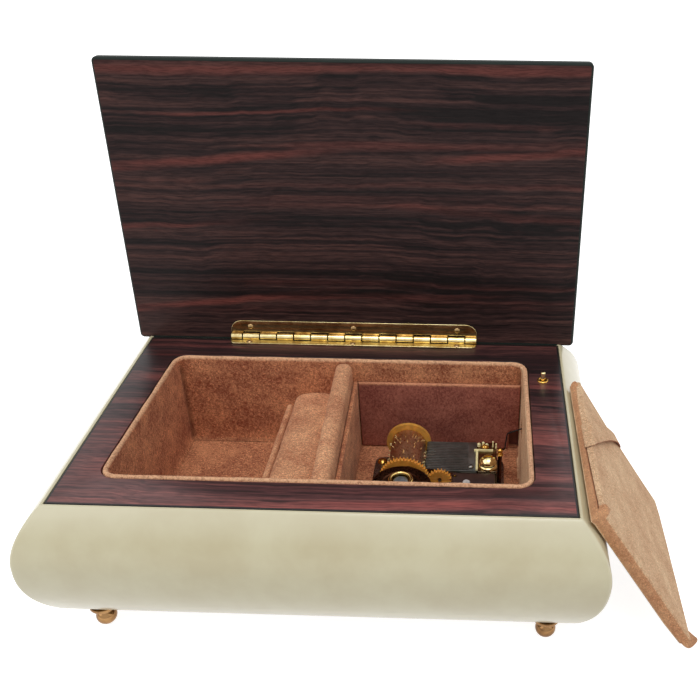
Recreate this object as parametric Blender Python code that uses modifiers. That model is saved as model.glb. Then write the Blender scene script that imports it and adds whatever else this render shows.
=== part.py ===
"""Music box with a bowed lacquered case, a hinged lid, a lined tray and an 18-note movement.

Metres, +Z up, +Y towards the hinge. The box stands on its four feet with the floor at z = 0.
Sizes below are in millimetres and are turned into metres by MM.
"""
import math

import bmesh
import bpy
from mathutils import Matrix, Vector

MM = 0.001

# General clearances
GAP = 0.3
RUNNING = 0.3

# Case
DECK_WIDTH = 165.0
DECK_DEPTH = 102.0
DECK_TOP = 57.0
DECK_THICKNESS = 3.0
CASE_BOTTOM = 9.8
BULGE = 10.5
BULGE_HEIGHT = 38.0
RIM = 1.0
BOTTOM_INSET = 2.0
WALL_INNER = 9.0
CORNER_SOFTNESS = 1.5
MITRE_GAP = 0.25
BASE_THICKNESS = 3.0
BASE_LIP = 0.5

# Tray and its lining
FRAME_SIDE = 12.6
FRAME_RAIL = 12.9
TRAY_CORNER = 6.0
LINER_WALL = 2.2
LINER_STAND = 0.4
TRAY_FLOOR_TOP = 17.2
RIGHT_COMPARTMENT = 64.65
DIVIDER_THICKNESS = 6.5
DIVIDER_DROP = 1.0
RIDGE_THICKNESS = 2.5
RIDGE_TOP = 36.0
RING_SLOT = 1.2
ROLL_WIDTH = 18.4
ROLL_TOP = 42.0
LEDGE_TOP = 48.0
LEDGE_THICKNESS = 1.7

# Feet
FOOT_INSET_X = 7.2
FOOT_INSET_Y = 5.2
FOOT_FLANGE_RADIUS = 4.8
FOOT_BALL_RADIUS = 3.5
FOOT_NECK_RADIUS = 2.7
FOOT_REST_RADIUS = 1.6

# Lid and its hinge
LID_OVERHANG = 5.8
LID_FRONT_OVERHANG = 7.0
LID_THICKNESS = 4.6
LID_CORNER = 1.8
LID_EDGE = 1.3
LID_BEHIND_AXIS = 2.0
LID_OPEN_DEG = 92.7
HINGE_LENGTH = 99.6
KNUCKLES = 15
BARREL_RADIUS = 1.4
PIN_RADIUS = 0.4
PIN_BORE = 0.68
LEAF_THICKNESS = 0.6
UPPER_LEAF_WIDTH = 6.6
LOWER_LEAF_WIDTH = 5.2
AXIS_FROM_DECK_REAR = 0.0
LEAF_GAP = 0.15
NAIL_RADIUS = 1.3
NAIL_FROM_END = 8.0
LID_NAIL_ROW = 3.9
DECK_NAIL_ROW = 3.1

# Stop pin and its wire
STOP_FROM_TRAY = 5.2
STOP_Y = 25.1
STOP_PIN_RADIUS = 0.9
STOP_PIN_STAND = 3.8
BUSH_RADIUS = 2.1
STOP_PIN_LENGTH = 22.2
CHANNEL_DEPTH = 4.6
CHANNEL_WIDTH = 11.0
WIRE_RADIUS = 0.4
WIRE_SLOT = 7.0
WIRE_SLOT_HEIGHT = 7.0
WIRE_WALL_Y = 21.0
WIRE_PIVOT_REACH = 35.5
WIRE_PIVOT_Y = 13.0
WIRE_PIVOT_RISE = 12.3

# Movement
AXLE_FROM_WALL = 43.3
GEAR_FLOOR_GAP = 0.7725
GEAR_MODULE = 0.41
DRUM_TEETH = 44
SMALL_TEETH = 20
CROWN_TEETH = 64
GEAR_Y = 0.1
GEAR_WIDTH = 1.4
DRUM_RADIUS = 6.65
DRUM_FRONT = 2.9
DRUM_REAR = 21.3
END_DISC_RADIUS = 8.7
END_DISC_WIDTH = 1.5
SHAFT_RADIUS = 1.0
SPRING_BARREL_RADIUS = 11.0
BARREL_ABOVE_AXLE = 7.8
SPRING_STRIP = 0.45
ARBOR_RADIUS = 2.6
CROWN_THICKNESS = 0.9
BRACKET_FRONT = 1.4
BRACKET_REAR = 23.5
BEDPLATE_THICKNESS = 1.2
BEDPLATE_WIDTH = 51.0
BEDPLATE_DEPTH = 52.0
BEDPLATE_AHEAD = 11.9
BED_SCREW_SPACING = 16.0
BEDPLATE_Y = -0.8
WORM_RADIUS = 0.9
FAN_RADIUS = 3.2
GOVERNOR_ABOVE_AXLE = 5.2
COMB_TEETH = 18
COMB_TIP_CLEARANCE = 0.7
COMB_THICKNESS = 0.9
COMB_LENGTH = 19.4
COMB_FRONT = 3.6
COMB_REAR = 21.6
COMB_ABOVE_AXLE = 1.1
COMB_TOOTH_LENGTH = 10.2
CLAMP_WIDTH = 7.3
TOOTH_FRACTION = 0.62
KEY_BORE = 3.4
KEY_STEM = 1.6
KEY_BOW_WIDTH = 16.0
KEY_BOW_HEIGHT = 5.6
KEY_FLOOR_GAP = 1.6

# Loose cover
COVER_LENGTH = 73.9
COVER_WIDTH = 67.5
COVER_THICKNESS = 4.2
COVER_CROWN = 0.5
COVER_CENTRE_Y = -15.4
COVER_SLOPE_DEG = 58.1
COVER_YAW_DEG = 0.95
COVER_CASE_GAP = 0.35
STRAP_ON_TOP = (1.5, 10.0)
STRAP_ON_REAR = (-6.0, 0.8)
STRAP_THICKNESS = 1.0

# Worked out sizes
HALF_W = DECK_WIDTH / 2
HALF_D = DECK_DEPTH / 2
TRAY_X = HALF_W - FRAME_SIDE
TRAY_Y = HALF_D - FRAME_RAIL
LINER_X = TRAY_X - GAP
LINER_Y = TRAY_Y - GAP
INNER_X = LINER_X - LINER_WALL
INNER_Y = LINER_Y - LINER_WALL
NAIL_SPACING = HINGE_LENGTH / 2 - NAIL_FROM_END
DIVIDER_X = INNER_X - RIGHT_COMPARTMENT - DIVIDER_THICKNESS / 2
TRAY_FLOOR = TRAY_FLOOR_TOP + GAP
AXIS_Y = HALF_D - AXIS_FROM_DECK_REAR
AXIS_Z = DECK_TOP + BARREL_RADIUS + LEAF_GAP
PITCH_DRUM = DRUM_TEETH * GEAR_MODULE / 2
PITCH_SMALL = SMALL_TEETH * GEAR_MODULE / 2
PITCH_CROWN = CROWN_TEETH * GEAR_MODULE / 2
BARREL_Y = GEAR_Y - PITCH_CROWN
BEDPLATE_BOTTOM = TRAY_FLOOR_TOP + GAP
BEDPLATE_TOP = BEDPLATE_BOTTOM + BEDPLATE_THICKNESS
GEAR_TIP = 0.75 * GEAR_MODULE
AXLE_X = INNER_X - AXLE_FROM_WALL
AXLE_HEIGHT = BEDPLATE_TOP + PITCH_DRUM + GEAR_TIP + GEAR_FLOOR_GAP
BARREL_X = AXLE_X
SPRING_BARREL_TOP = AXLE_HEIGHT + BARREL_ABOVE_AXLE
GOVERNOR_TOP = AXLE_HEIGHT + GOVERNOR_ABOVE_AXLE
COMB_TOP = AXLE_HEIGHT + COMB_ABOVE_AXLE
BEDPLATE_X = AXLE_X + BEDPLATE_AHEAD
STOP_X = TRAY_X + STOP_FROM_TRAY
STOP_PIN_FOOT = DECK_TOP + STOP_PIN_STAND - STOP_PIN_LENGTH
WIRE_PIVOT = (AXLE_X + WIRE_PIVOT_REACH, WIRE_PIVOT_Y, BEDPLATE_TOP + WIRE_PIVOT_RISE)
GOVERNOR_X = AXLE_X + PITCH_DRUM + PITCH_SMALL
BASE_BOTTOM = CASE_BOTTOM + BASE_LIP
BASE_TOP = BASE_BOTTOM + BASE_THICKNESS

for old in list(bpy.data.objects):
    bpy.data.objects.remove(old, do_unlink=True)

parts = bpy.data.collections.new("music_box")
bpy.context.scene.collection.children.link(parts)


def make_material(name, colour, roughness, metallic=0.0):
    """A Principled material with one colour."""
    result = bpy.data.materials.new(name)
    result.use_nodes = True
    shader = result.node_tree.nodes["Principled BSDF"]
    shader.inputs["Base Color"].default_value = (*colour, 1.0)
    shader.inputs["Roughness"].default_value = roughness
    shader.inputs["Metallic"].default_value = metallic
    return result


CREAM = make_material("cream_lacquer", (0.70, 0.62, 0.44), 0.25)
ROSEWOOD = make_material("rosewood", (0.06, 0.022, 0.022), 0.3)
PLYWOOD = make_material("plywood", (0.45, 0.30, 0.17), 0.6)
SUEDE = make_material("suede", (0.48, 0.22, 0.12), 0.95)
COVER_SUEDE = make_material("cover_suede", (0.57, 0.29, 0.18), 0.95)
BRASS = make_material("brass", (0.83, 0.60, 0.20), 0.22, 1.0)
COPPER_BRASS = make_material("copper_brass", (0.72, 0.42, 0.20), 0.25, 1.0)
STEEL = make_material("steel", (0.45, 0.45, 0.44), 0.35, 1.0)
COMB_STEEL = make_material("comb_steel", (0.06, 0.07, 0.065), 0.35, 1.0)
BARREL_BRONZE = make_material("barrel_bronze", (0.10, 0.05, 0.035), 0.35, 1.0)
AMBER_PLASTIC = make_material("amber_plastic", (0.62, 0.30, 0.05), 0.35)
YELLOW_PLASTIC = make_material("yellow_plastic", (0.66, 0.46, 0.08), 0.35)
BLACK_PLASTIC = make_material("black_plastic", (0.03, 0.025, 0.025), 0.4)


def place(obj, material, parent=None):
    """Give an object its material, its collection and its parent."""
    obj.data.materials.clear()
    obj.data.materials.append(material)
    for home in list(obj.users_collection):
        home.objects.unlink(obj)
    parts.objects.link(obj)
    obj.parent = parent
    return obj


def make_empty(name, location, parent=None, rotation=(0.0, 0.0, 0.0)):
    """An empty at a point in millimetres, for a joint's axis."""
    empty = bpy.data.objects.new(name, None)
    empty.empty_display_size = 0.01
    empty.location = Vector(location) * MM
    empty.rotation_euler = rotation
    empty.parent = parent
    parts.objects.link(empty)
    return empty


def mesh_object(name, bm, material, parent=None, location=(0.0, 0.0, 0.0)):
    """A bmesh in millimetres as a named object in metres."""
    bmesh.ops.remove_doubles(bm, verts=bm.verts[:], dist=1e-4)
    bmesh.ops.recalc_face_normals(bm, faces=bm.faces[:])
    bmesh.ops.scale(bm, vec=(MM, MM, MM), verts=bm.verts[:])
    mesh = bpy.data.meshes.new(name)
    bm.to_mesh(mesh)
    bm.free()
    obj = bpy.data.objects.new(name, mesh)
    obj.location = Vector(location) * MM
    return place(obj, material, parent)


def box_bmesh(size, centre, bm=None):
    """A box of a size about a centre, added to a bmesh."""
    if bm is None:
        bm = bmesh.new()
    made = bmesh.ops.create_cube(bm, size=1.0)
    bmesh.ops.scale(bm, vec=size, verts=made["verts"])
    bmesh.ops.translate(bm, vec=centre, verts=made["verts"])
    return bm


def box(name, low, high, material, parent=None):
    """A box between two corners."""
    size = [b - a for a, b in zip(low, high)]
    centre = [(a + b) / 2 for a, b in zip(low, high)]
    return mesh_object(name, box_bmesh(size, centre), material, parent)


def cylinder_bmesh(radius, low, high, steps, bm=None, centre=(0.0, 0.0)):
    """An upright cylinder between two heights, added to a bmesh."""
    if bm is None:
        bm = bmesh.new()
    place_at = Matrix.Translation((centre[0], centre[1], (low + high) / 2))
    bmesh.ops.create_cone(bm, cap_ends=True, segments=steps, radius1=radius, radius2=radius,
                          depth=high - low, matrix=place_at)
    return bm


def rounded_rect(half_x, half_y, radius, steps=4, centre=(0.0, 0.0)):
    """The outline of a rectangle with round corners."""
    points = []
    for corner, (sx, sy) in enumerate(((1, 1), (-1, 1), (-1, -1), (1, -1))):
        for step in range(steps + 1):
            angle = math.radians(90.0 * corner + 90.0 * step / steps)
            x = centre[0] + sx * (half_x - radius) + radius * math.cos(angle)
            y = centre[1] + sy * (half_y - radius) + radius * math.sin(angle)
            points.append((x, y))
    return points


def circle(radius, steps, centre=(0.0, 0.0)):
    """The outline of a circle."""
    turns = [2 * math.pi * step / steps for step in range(steps)]
    return [(centre[0] + radius * math.cos(a), centre[1] + radius * math.sin(a)) for a in turns]


def gear_outline(teeth, phase, below=1.05 * GEAR_MODULE, above=GEAR_TIP):
    """A spur gear's outline, with a tooth at the phase angle."""
    pitch_radius = teeth * GEAR_MODULE / 2
    root = pitch_radius - below
    tip = pitch_radius + above
    tooth = 2 * math.pi / teeth
    points = []
    for index in range(teeth):
        middle = phase + index * tooth
        for offset, radius in ((-0.2, root), (-0.1, tip), (0.1, tip), (0.2, root)):
            angle = middle + offset * tooth
            points.append((radius * math.cos(angle), radius * math.sin(angle)))
    return points


def extruded(name, outlines, low, high, material, parent=None, location=(0.0, 0.0, 0.0), turn=None):
    """A flat 2D curve with holes, filled and extruded from low to high, as a mesh object.

    turn is a rotation of the finished piece about its own origin.
    """
    curve = bpy.data.curves.new(name, "CURVE")
    curve.dimensions = "2D"
    curve.fill_mode = "BOTH"
    curve.extrude = (high - low) / 2 * MM
    for outline in outlines:
        spline = curve.splines.new("POLY")
        spline.points.add(len(outline) - 1)
        for point, (x, y) in zip(spline.points, outline):
            point.co = (x * MM, y * MM, 0.0, 1.0)
        spline.use_cyclic_u = True
    flat = bpy.data.objects.new(name + "_outline", curve)
    bpy.context.scene.collection.objects.link(flat)
    bpy.context.view_layer.update()
    graph = bpy.context.evaluated_depsgraph_get()
    mesh = bpy.data.meshes.new_from_object(flat.evaluated_get(graph))
    bpy.data.objects.remove(flat, do_unlink=True)
    bm = bmesh.new()
    bm.from_mesh(mesh)
    bpy.data.meshes.remove(mesh)
    bmesh.ops.translate(bm, vec=(0.0, 0.0, (high + low) / 2 * MM), verts=bm.verts[:])
    if turn is not None:
        bmesh.ops.transform(bm, matrix=turn.to_4x4(), verts=bm.verts[:])
    bmesh.ops.scale(bm, vec=(1 / MM, 1 / MM, 1 / MM), verts=bm.verts[:])
    return mesh_object(name, bm, material, parent, location)


# Turns an outline drawn in x and y into one in x and z, with the extrusion along y
UPRIGHT = Matrix.Rotation(math.radians(90.0), 3, "X")
# Lays a piece turned about z along the y axis
AXLE_TURN = (-math.pi / 2, 0.0, 0.0)


def turned(name, profile, steps, material, parent=None, location=(0.0, 0.0, 0.0)):
    """A turned piece: a profile of (radius, height) down its outer side, spun with Screw."""
    mesh = bpy.data.meshes.new(name)
    verts = [(radius * MM, 0.0, height * MM) for radius, height in profile]
    edges = [(index, index + 1) for index in range(len(verts) - 1)]
    if profile[0][0] > 0.0:
        edges.append((len(verts) - 1, 0))
    mesh.from_pydata(verts, edges, [])
    obj = bpy.data.objects.new(name, mesh)
    obj.location = Vector(location) * MM
    screw = obj.modifiers.new("spin", "SCREW")
    screw.steps = steps
    screw.render_steps = steps
    screw.use_merge_vertices = True
    screw.merge_threshold = 1e-6
    screw.use_smooth_shade = True
    return place(obj, material, parent)


def cut(obj, tool, operation="DIFFERENCE"):
    """Apply one exact Boolean with a bmesh in the object's own millimetres."""
    bmesh.ops.recalc_face_normals(tool, faces=tool.faces[:])
    bmesh.ops.scale(tool, vec=(MM, MM, MM), verts=tool.verts[:])
    mesh = bpy.data.meshes.new(obj.name + "_tool")
    tool.to_mesh(mesh)
    tool.free()
    cutter = bpy.data.objects.new(obj.name + "_tool", mesh)
    bpy.context.scene.collection.objects.link(cutter)
    cutter.parent = obj.parent
    cutter.location = obj.location
    modifier = obj.modifiers.new("cut", "BOOLEAN")
    modifier.operation = operation
    modifier.object = cutter
    bpy.context.view_layer.update()
    graph = bpy.context.evaluated_depsgraph_get()
    result = bpy.data.meshes.new_from_object(obj.evaluated_get(graph))
    obj.modifiers.clear()
    old = obj.data
    obj.data = result
    bpy.data.meshes.remove(old)
    bpy.data.objects.remove(cutter, do_unlink=True)
    return obj


def bulge_at(height):
    """How far the case's outer face stands out from the deck's edge at a height."""
    if height >= BULGE_HEIGHT:
        rise = (height - BULGE_HEIGHT) / (DECK_TOP - BULGE_HEIGHT)
        return RIM + (BULGE - RIM) * max(0.0, 1.0 - rise * rise) ** 0.94
    fall = (BULGE_HEIGHT - height) / (BULGE_HEIGHT - CASE_BOTTOM)
    return -BOTTOM_INSET - 3.9 + (BULGE + BOTTOM_INSET + 3.9) * (1.0 - 0.902 * fall * fall) ** 0.626


def wall_profile():
    """Points (outward from the deck's edge, height) round a case wall's section."""
    points = []
    upper = 7
    for step in range(upper):
        part = step / upper
        height = DECK_TOP - (DECK_TOP - BULGE_HEIGHT) * (1.0 - math.cos(part * math.pi / 2))
        points.append((bulge_at(height), height))
    lower = 8
    for step in range(lower + 1):
        height = BULGE_HEIGHT - (BULGE_HEIGHT - CASE_BOTTOM) * math.sin(step / lower * math.pi / 2)
        points.append((bulge_at(height), height))
    seat = DECK_TOP - DECK_THICKNESS - GAP
    points.append((-WALL_INNER, CASE_BOTTOM))
    points.append((-WALL_INNER, seat))
    points.append((GAP / 2, seat))
    points.append((GAP / 2, DECK_TOP))
    return points


def make_wall(name, half_length, half_other, quarter_turns):
    """A bowed wall mitred at both ends, with a softly rounded corner."""
    bm = bmesh.new()
    rings = []
    profile = wall_profile()
    for side in (-1, 1):
        angles = (45.0, 22.5, 0.0) if side < 0 else (0.0, 22.5, 45.0)
        for angle in angles:
            ring = []
            for out, height in profile:
                soft = CORNER_SOFTNESS * min(1.0, max(0.0, out - RIM) / RIM)
                turn = math.radians(angle)
                along = half_length + out - soft + soft * math.sin(turn) - MITRE_GAP
                across = half_other + out - soft + soft * math.cos(turn)
                ring.append(bm.verts.new((side * along, -across, height)))
            rings.append(ring)
    count = len(profile)
    for first, second in zip(rings, rings[1:]):
        for index in range(count):
            after = (index + 1) % count
            bm.faces.new((first[index], first[after], second[after], second[index]))
    bm.faces.new(rings[0])
    bm.faces.new(rings[-1])
    bmesh.ops.rotate(bm, verts=bm.verts[:], matrix=Matrix.Rotation(quarter_turns * math.pi / 2, 3, "Z"))
    return mesh_object(name, bm, CREAM, base)


base = make_empty("music_box_base", (0.0, 0.0, 0.0))


def make_case():
    """Four bowed walls, the base panel, the deck and the feet."""
    make_wall("case_wall_front", HALF_W, HALF_D, 0)
    right = make_wall("case_wall_right", HALF_D, HALF_W, 1)
    # A routed channel under the deck lets the stop pin and the end of its wire move
    channel_low = STOP_PIN_FOOT - 5.0
    channel_high = DECK_TOP - DECK_THICKNESS + 1.0
    inner_face = HALF_W - WALL_INNER
    cut(right, box_bmesh((2 * CHANNEL_DEPTH, CHANNEL_WIDTH, channel_high - channel_low),
                         (inner_face, STOP_Y - 2.0, (channel_low + channel_high) / 2)))
    make_wall("case_wall_rear", HALF_W, HALF_D, 2)
    make_wall("case_wall_left", HALF_D, HALF_W, 3)
    panel_x = HALF_W - WALL_INNER - GAP
    panel_y = HALF_D - WALL_INNER - GAP
    extruded("base_panel", [rounded_rect(panel_x, panel_y, 0.5, 1),
                            circle(KEY_BORE, 20, (BARREL_X, BARREL_Y))],
             BASE_BOTTOM, BASE_TOP, PLYWOOD, base)
    extruded("deck_frame", [rounded_rect(HALF_W - GAP / 2, HALF_D - GAP / 2, 0.4, 1),
                            rounded_rect(TRAY_X, TRAY_Y, TRAY_CORNER),
                            circle(BUSH_RADIUS - GAP, 16, (STOP_X, STOP_Y))],
             DECK_TOP - DECK_THICKNESS, DECK_TOP, ROSEWOOD, base)
    top = CASE_BOTTOM - GAP
    profile = [(0.0, top), (FOOT_FLANGE_RADIUS, top), (FOOT_FLANGE_RADIUS, top - 1.3),
               (FOOT_NECK_RADIUS + 0.3, top - 2.3), (FOOT_NECK_RADIUS, top - 3.2), (FOOT_BALL_RADIUS, 4.4),
               (FOOT_BALL_RADIUS, 2.6), (0.8 * FOOT_BALL_RADIUS, 1.0), (FOOT_REST_RADIUS, 0.0), (0.0, 0.0)]
    for side_x, word_x in ((-1, "left"), (1, "right")):
        for side_y, word_y in ((-1, "front"), (1, "rear")):
            turned("foot_" + word_y + "_" + word_x, profile, 16, COPPER_BRASS, base,
                   (side_x * (HALF_W - FOOT_INSET_X), side_y * (HALF_D - FOOT_INSET_Y), 0.0))


def slab_profile(name, low_x, high_x, low_z, high_z, low_y, high_y, round_over, material, steps=5):
    """A board standing along y whose top edge is rounded over by a quarter ellipse each side."""
    half = (high_x - low_x) / 2
    middle = (high_x + low_x) / 2
    points = [(middle - half, low_z), (middle + half, low_z)]
    for step in range(2 * steps + 1):
        angle = math.pi * step / (2 * steps)
        points.append((middle + half * math.cos(angle), high_z - round_over + round_over * math.sin(angle)))
    return extruded(name, [points], -high_y, -low_y, material, base, turn=UPRIGHT)


def make_tray():
    """The suede lined tray in the deck's opening, with its divider, ring rolls and ledges."""
    extruded("tray_floor", [rounded_rect(LINER_X, LINER_Y, TRAY_CORNER - GAP),
                            circle(KEY_BORE, 20, (BARREL_X, BARREL_Y))],
             BASE_TOP + GAP, TRAY_FLOOR_TOP, SUEDE, base)
    liner = extruded("tray_liner", [rounded_rect(LINER_X, LINER_Y, TRAY_CORNER - GAP),
                                    rounded_rect(INNER_X, INNER_Y, TRAY_CORNER - GAP - LINER_WALL)],
                     TRAY_FLOOR, DECK_TOP + LINER_STAND, SUEDE, base)
    slot_low = STOP_PIN_FOOT - 5.0
    tool = box_bmesh((3 * LINER_WALL, WIRE_SLOT, WIRE_SLOT_HEIGHT),
                     (INNER_X + LINER_WALL / 2, WIRE_WALL_Y, slot_low + WIRE_SLOT_HEIGHT / 2))
    cut(liner, tool)
    reach_y = INNER_Y - GAP
    divider_left = DIVIDER_X - DIVIDER_THICKNESS / 2
    divider_right = DIVIDER_X + DIVIDER_THICKNESS / 2
    slab_profile("tray_divider", divider_left, divider_right, TRAY_FLOOR, DECK_TOP - DIVIDER_DROP,
                 -reach_y, reach_y, DIVIDER_THICKNESS / 2, SUEDE)
    roll_right = divider_left - GAP
    roll_left = roll_right - ROLL_WIDTH
    slab_profile("ring_roll_wide", roll_left, roll_right, TRAY_FLOOR, ROLL_TOP, -reach_y, reach_y,
                 4.5, SUEDE)
    ridge_right = roll_left - RING_SLOT
    slab_profile("ring_roll_narrow", ridge_right - RIDGE_THICKNESS, ridge_right, TRAY_FLOOR, RIDGE_TOP,
                 -reach_y, reach_y, RIDGE_THICKNESS / 2, SUEDE, 3)
    box("ledge_divider", (divider_right + GAP, -reach_y, TRAY_FLOOR),
        (divider_right + GAP + LEDGE_THICKNESS, reach_y, LEDGE_TOP), SUEDE, base)
    box("ledge_rear", (divider_right + 2 * GAP + LEDGE_THICKNESS, reach_y - LEDGE_THICKNESS, TRAY_FLOOR),
        (INNER_X - TRAY_CORNER + LINER_WALL, reach_y, LEDGE_TOP), SUEDE, base)


def make_leaf(name, first_knuckle, width, nail_row, parent):
    """A hinge leaf lying flat in x and y with its barrel's knuckles on the x axis.

    The leaf's flat stretch runs towards -y with its underside at z = -BARREL_RADIUS.
    """
    low = -BARREL_RADIUS
    high = low + LEAF_THICKNESS
    half = HINGE_LENGTH / 2
    inner_edge = -(BARREL_RADIUS + RUNNING)
    outline = [(half, inner_edge), (-half, inner_edge)]
    corner = 2.2
    for sx in (-1, 1):
        for step in range(5):
            angle = math.radians(180 + 90 * (step / 4 if sx < 0 else 1 + step / 4))
            outline.append((sx * (half - corner) + corner * math.cos(angle),
                            -width + corner + corner * math.sin(angle)))
    holes = [circle(0.85, 8, (side * NAIL_SPACING, -nail_row)) for side in (-1, 0, 1)]
    leaf = extruded(name, [outline] + holes, low, high, BRASS, parent)
    pitch = HINGE_LENGTH / KNUCKLES
    tabs = bmesh.new()
    for index in range(first_knuckle, KNUCKLES, 2):
        centre = -half + (index + 0.5) * pitch
        box_bmesh((pitch - GAP, BARREL_RADIUS, LEAF_THICKNESS * 0.8),
                  (centre, inner_edge + BARREL_RADIUS / 2 - 0.3, low + LEAF_THICKNESS * 0.5), tabs)
    cut(leaf, tabs, "UNION")
    tubes = bmesh.new()
    for index in range(first_knuckle, KNUCKLES, 2):
        centre = -half + (index + 0.5) * pitch
        ring_tube(tubes, centre, pitch - GAP)
    cut(leaf, tubes, "UNION")
    return leaf


def ring_tube(bm, centre, length, sides=12):
    """A tube along x round the hinge's axis, added to a bmesh."""
    ends = (centre - length / 2, centre + length / 2)
    loops = []
    for radius in (BARREL_RADIUS, PIN_BORE):
        for x in ends:
            turns = [2 * math.pi * (step + 0.5) / sides for step in range(sides)]
            loops.append([bm.verts.new((x, radius * math.cos(a), radius * math.sin(a))) for a in turns])
    outer_a, outer_b, inner_a, inner_b = loops
    for first, second in ((outer_a, outer_b), (outer_b, inner_b), (inner_b, inner_a), (inner_a, outer_a)):
        for step in range(sides):
            after = (step + 1) % sides
            bm.faces.new((first[step], first[after], second[after], second[step]))


def make_nails(prefix, row, parent):
    """Three dome headed nails through a leaf."""
    top = -BARREL_RADIUS + LEAF_THICKNESS
    head = top + 0.05
    profile = [(0.0, head + 0.55), (0.6, head + 0.45), (NAIL_RADIUS, head), (0.5, head),
               (0.5, -BARREL_RADIUS + 0.05), (0.0, -BARREL_RADIUS + 0.05)]
    for number, side in enumerate((-1, 0, 1), start=1):
        turned(prefix + "_nail_" + str(number), profile, 10, BRASS, parent,
               (side * NAIL_SPACING, -row, 0.0))


def make_lid():
    """The lid board and the hinge. The lid axis empty turns the closed lid to its open place."""
    axis = make_empty("lid_axis", (0.0, AXIS_Y, AXIS_Z), base,
                      (-math.radians(LID_OPEN_DEG), 0.0, 0.0))
    half_x = HALF_W + LID_OVERHANG
    front = -(AXIS_Y + HALF_D + LID_FRONT_OVERHANG)
    rear = LID_BEHIND_AXIS
    bm = box_bmesh((2 * half_x, rear - front, LID_THICKNESS),
                   (0.0, (rear + front) / 2, BARREL_RADIUS + LEAF_GAP + LID_THICKNESS / 2))
    upright = [edge for edge in bm.edges if abs(edge.verts[0].co.z - edge.verts[1].co.z) > 1.0]
    bmesh.ops.bevel(bm, geom=upright, offset=LID_CORNER, segments=3, profile=0.5, affect="EDGES")
    level = [edge for edge in bm.edges if abs(edge.verts[0].co.z - edge.verts[1].co.z) < 0.01]
    bmesh.ops.bevel(bm, geom=level, offset=LID_EDGE, segments=2, profile=0.5, affect="EDGES")
    mesh_object("lid_board", bm, ROSEWOOD, axis)
    # The lid's leaf is the deck leaf's shape turned over, because the two fold face to face
    leaf_turn = make_empty("lid_leaf_turn", (0.0, 0.0, 0.0), axis)
    leaf = make_leaf("hinge_lid_leaf", 0, UPPER_LEAF_WIDTH, LID_NAIL_ROW, leaf_turn)
    mirror_in_z(leaf)
    make_nails("hinge_lid", LID_NAIL_ROW, leaf_turn)
    for number in (1, 2, 3):
        nail = bpy.data.objects["hinge_lid_nail_" + str(number)]
        nail.rotation_euler = (math.pi, 0.0, 0.0)
    still = make_empty("deck_leaf_place", (0.0, AXIS_Y, AXIS_Z), base)
    make_leaf("hinge_deck_leaf", 1, LOWER_LEAF_WIDTH, DECK_NAIL_ROW, still)
    make_nails("hinge_deck", DECK_NAIL_ROW, still)
    pin = bmesh.new()
    bmesh.ops.create_cone(pin, cap_ends=True, segments=12, radius1=PIN_RADIUS, radius2=PIN_RADIUS,
                          depth=HINGE_LENGTH, matrix=Matrix.Rotation(math.pi / 2, 4, "Y"))
    mesh_object("hinge_pin", pin, BRASS, still)


def mirror_in_z(obj):
    """Mirror an object's mesh in its own xy plane, faces still outwards."""
    bm = bmesh.new()
    bm.from_mesh(obj.data)
    bmesh.ops.scale(bm, vec=(1.0, 1.0, -1.0), verts=bm.verts[:])
    bmesh.ops.reverse_faces(bm, faces=bm.faces[:])
    bm.to_mesh(obj.data)
    bm.free()


def make_stop():
    """The pin that the closing lid presses, its bush, and the wire that it moves."""
    flange = DECK_TOP + 0.05
    turned("stop_bush", [(BUSH_RADIUS + 0.2, flange + 0.45), (BUSH_RADIUS + 0.2, flange),
                         (BUSH_RADIUS - 2 * GAP, flange), (BUSH_RADIUS - 2 * GAP, DECK_TOP - 4.0),
                         (STOP_PIN_RADIUS + 0.25, DECK_TOP - 4.0), (STOP_PIN_RADIUS + 0.25, flange + 0.45)],
           16, BRASS, base, (STOP_X, STOP_Y, 0.0))
    slider = make_empty("stop_pin_axis", (STOP_X, STOP_Y, 0.0), base)
    top = DECK_TOP + STOP_PIN_STAND
    turned("stop_pin", [(0.0, top), (0.6, top - 0.1), (STOP_PIN_RADIUS, top - 0.5),
                        (STOP_PIN_RADIUS, STOP_PIN_FOOT), (0.0, STOP_PIN_FOOT)],
           12, BRASS, slider)


def along_y(obj, y):
    """Lay an object turned about z along the y axis, with its own zero at y."""
    obj.rotation_euler = AXLE_TURN
    obj.location.y = y * MM
    return obj


def flat_gear(name, outline, bore, y_low, y_high, material, parent):
    """A gear drawn in x and z about its axle, between two places along y."""
    return extruded(name, [outline, circle(bore, 12)], -y_high, -y_low, material, parent, turn=UPRIGHT)


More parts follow.
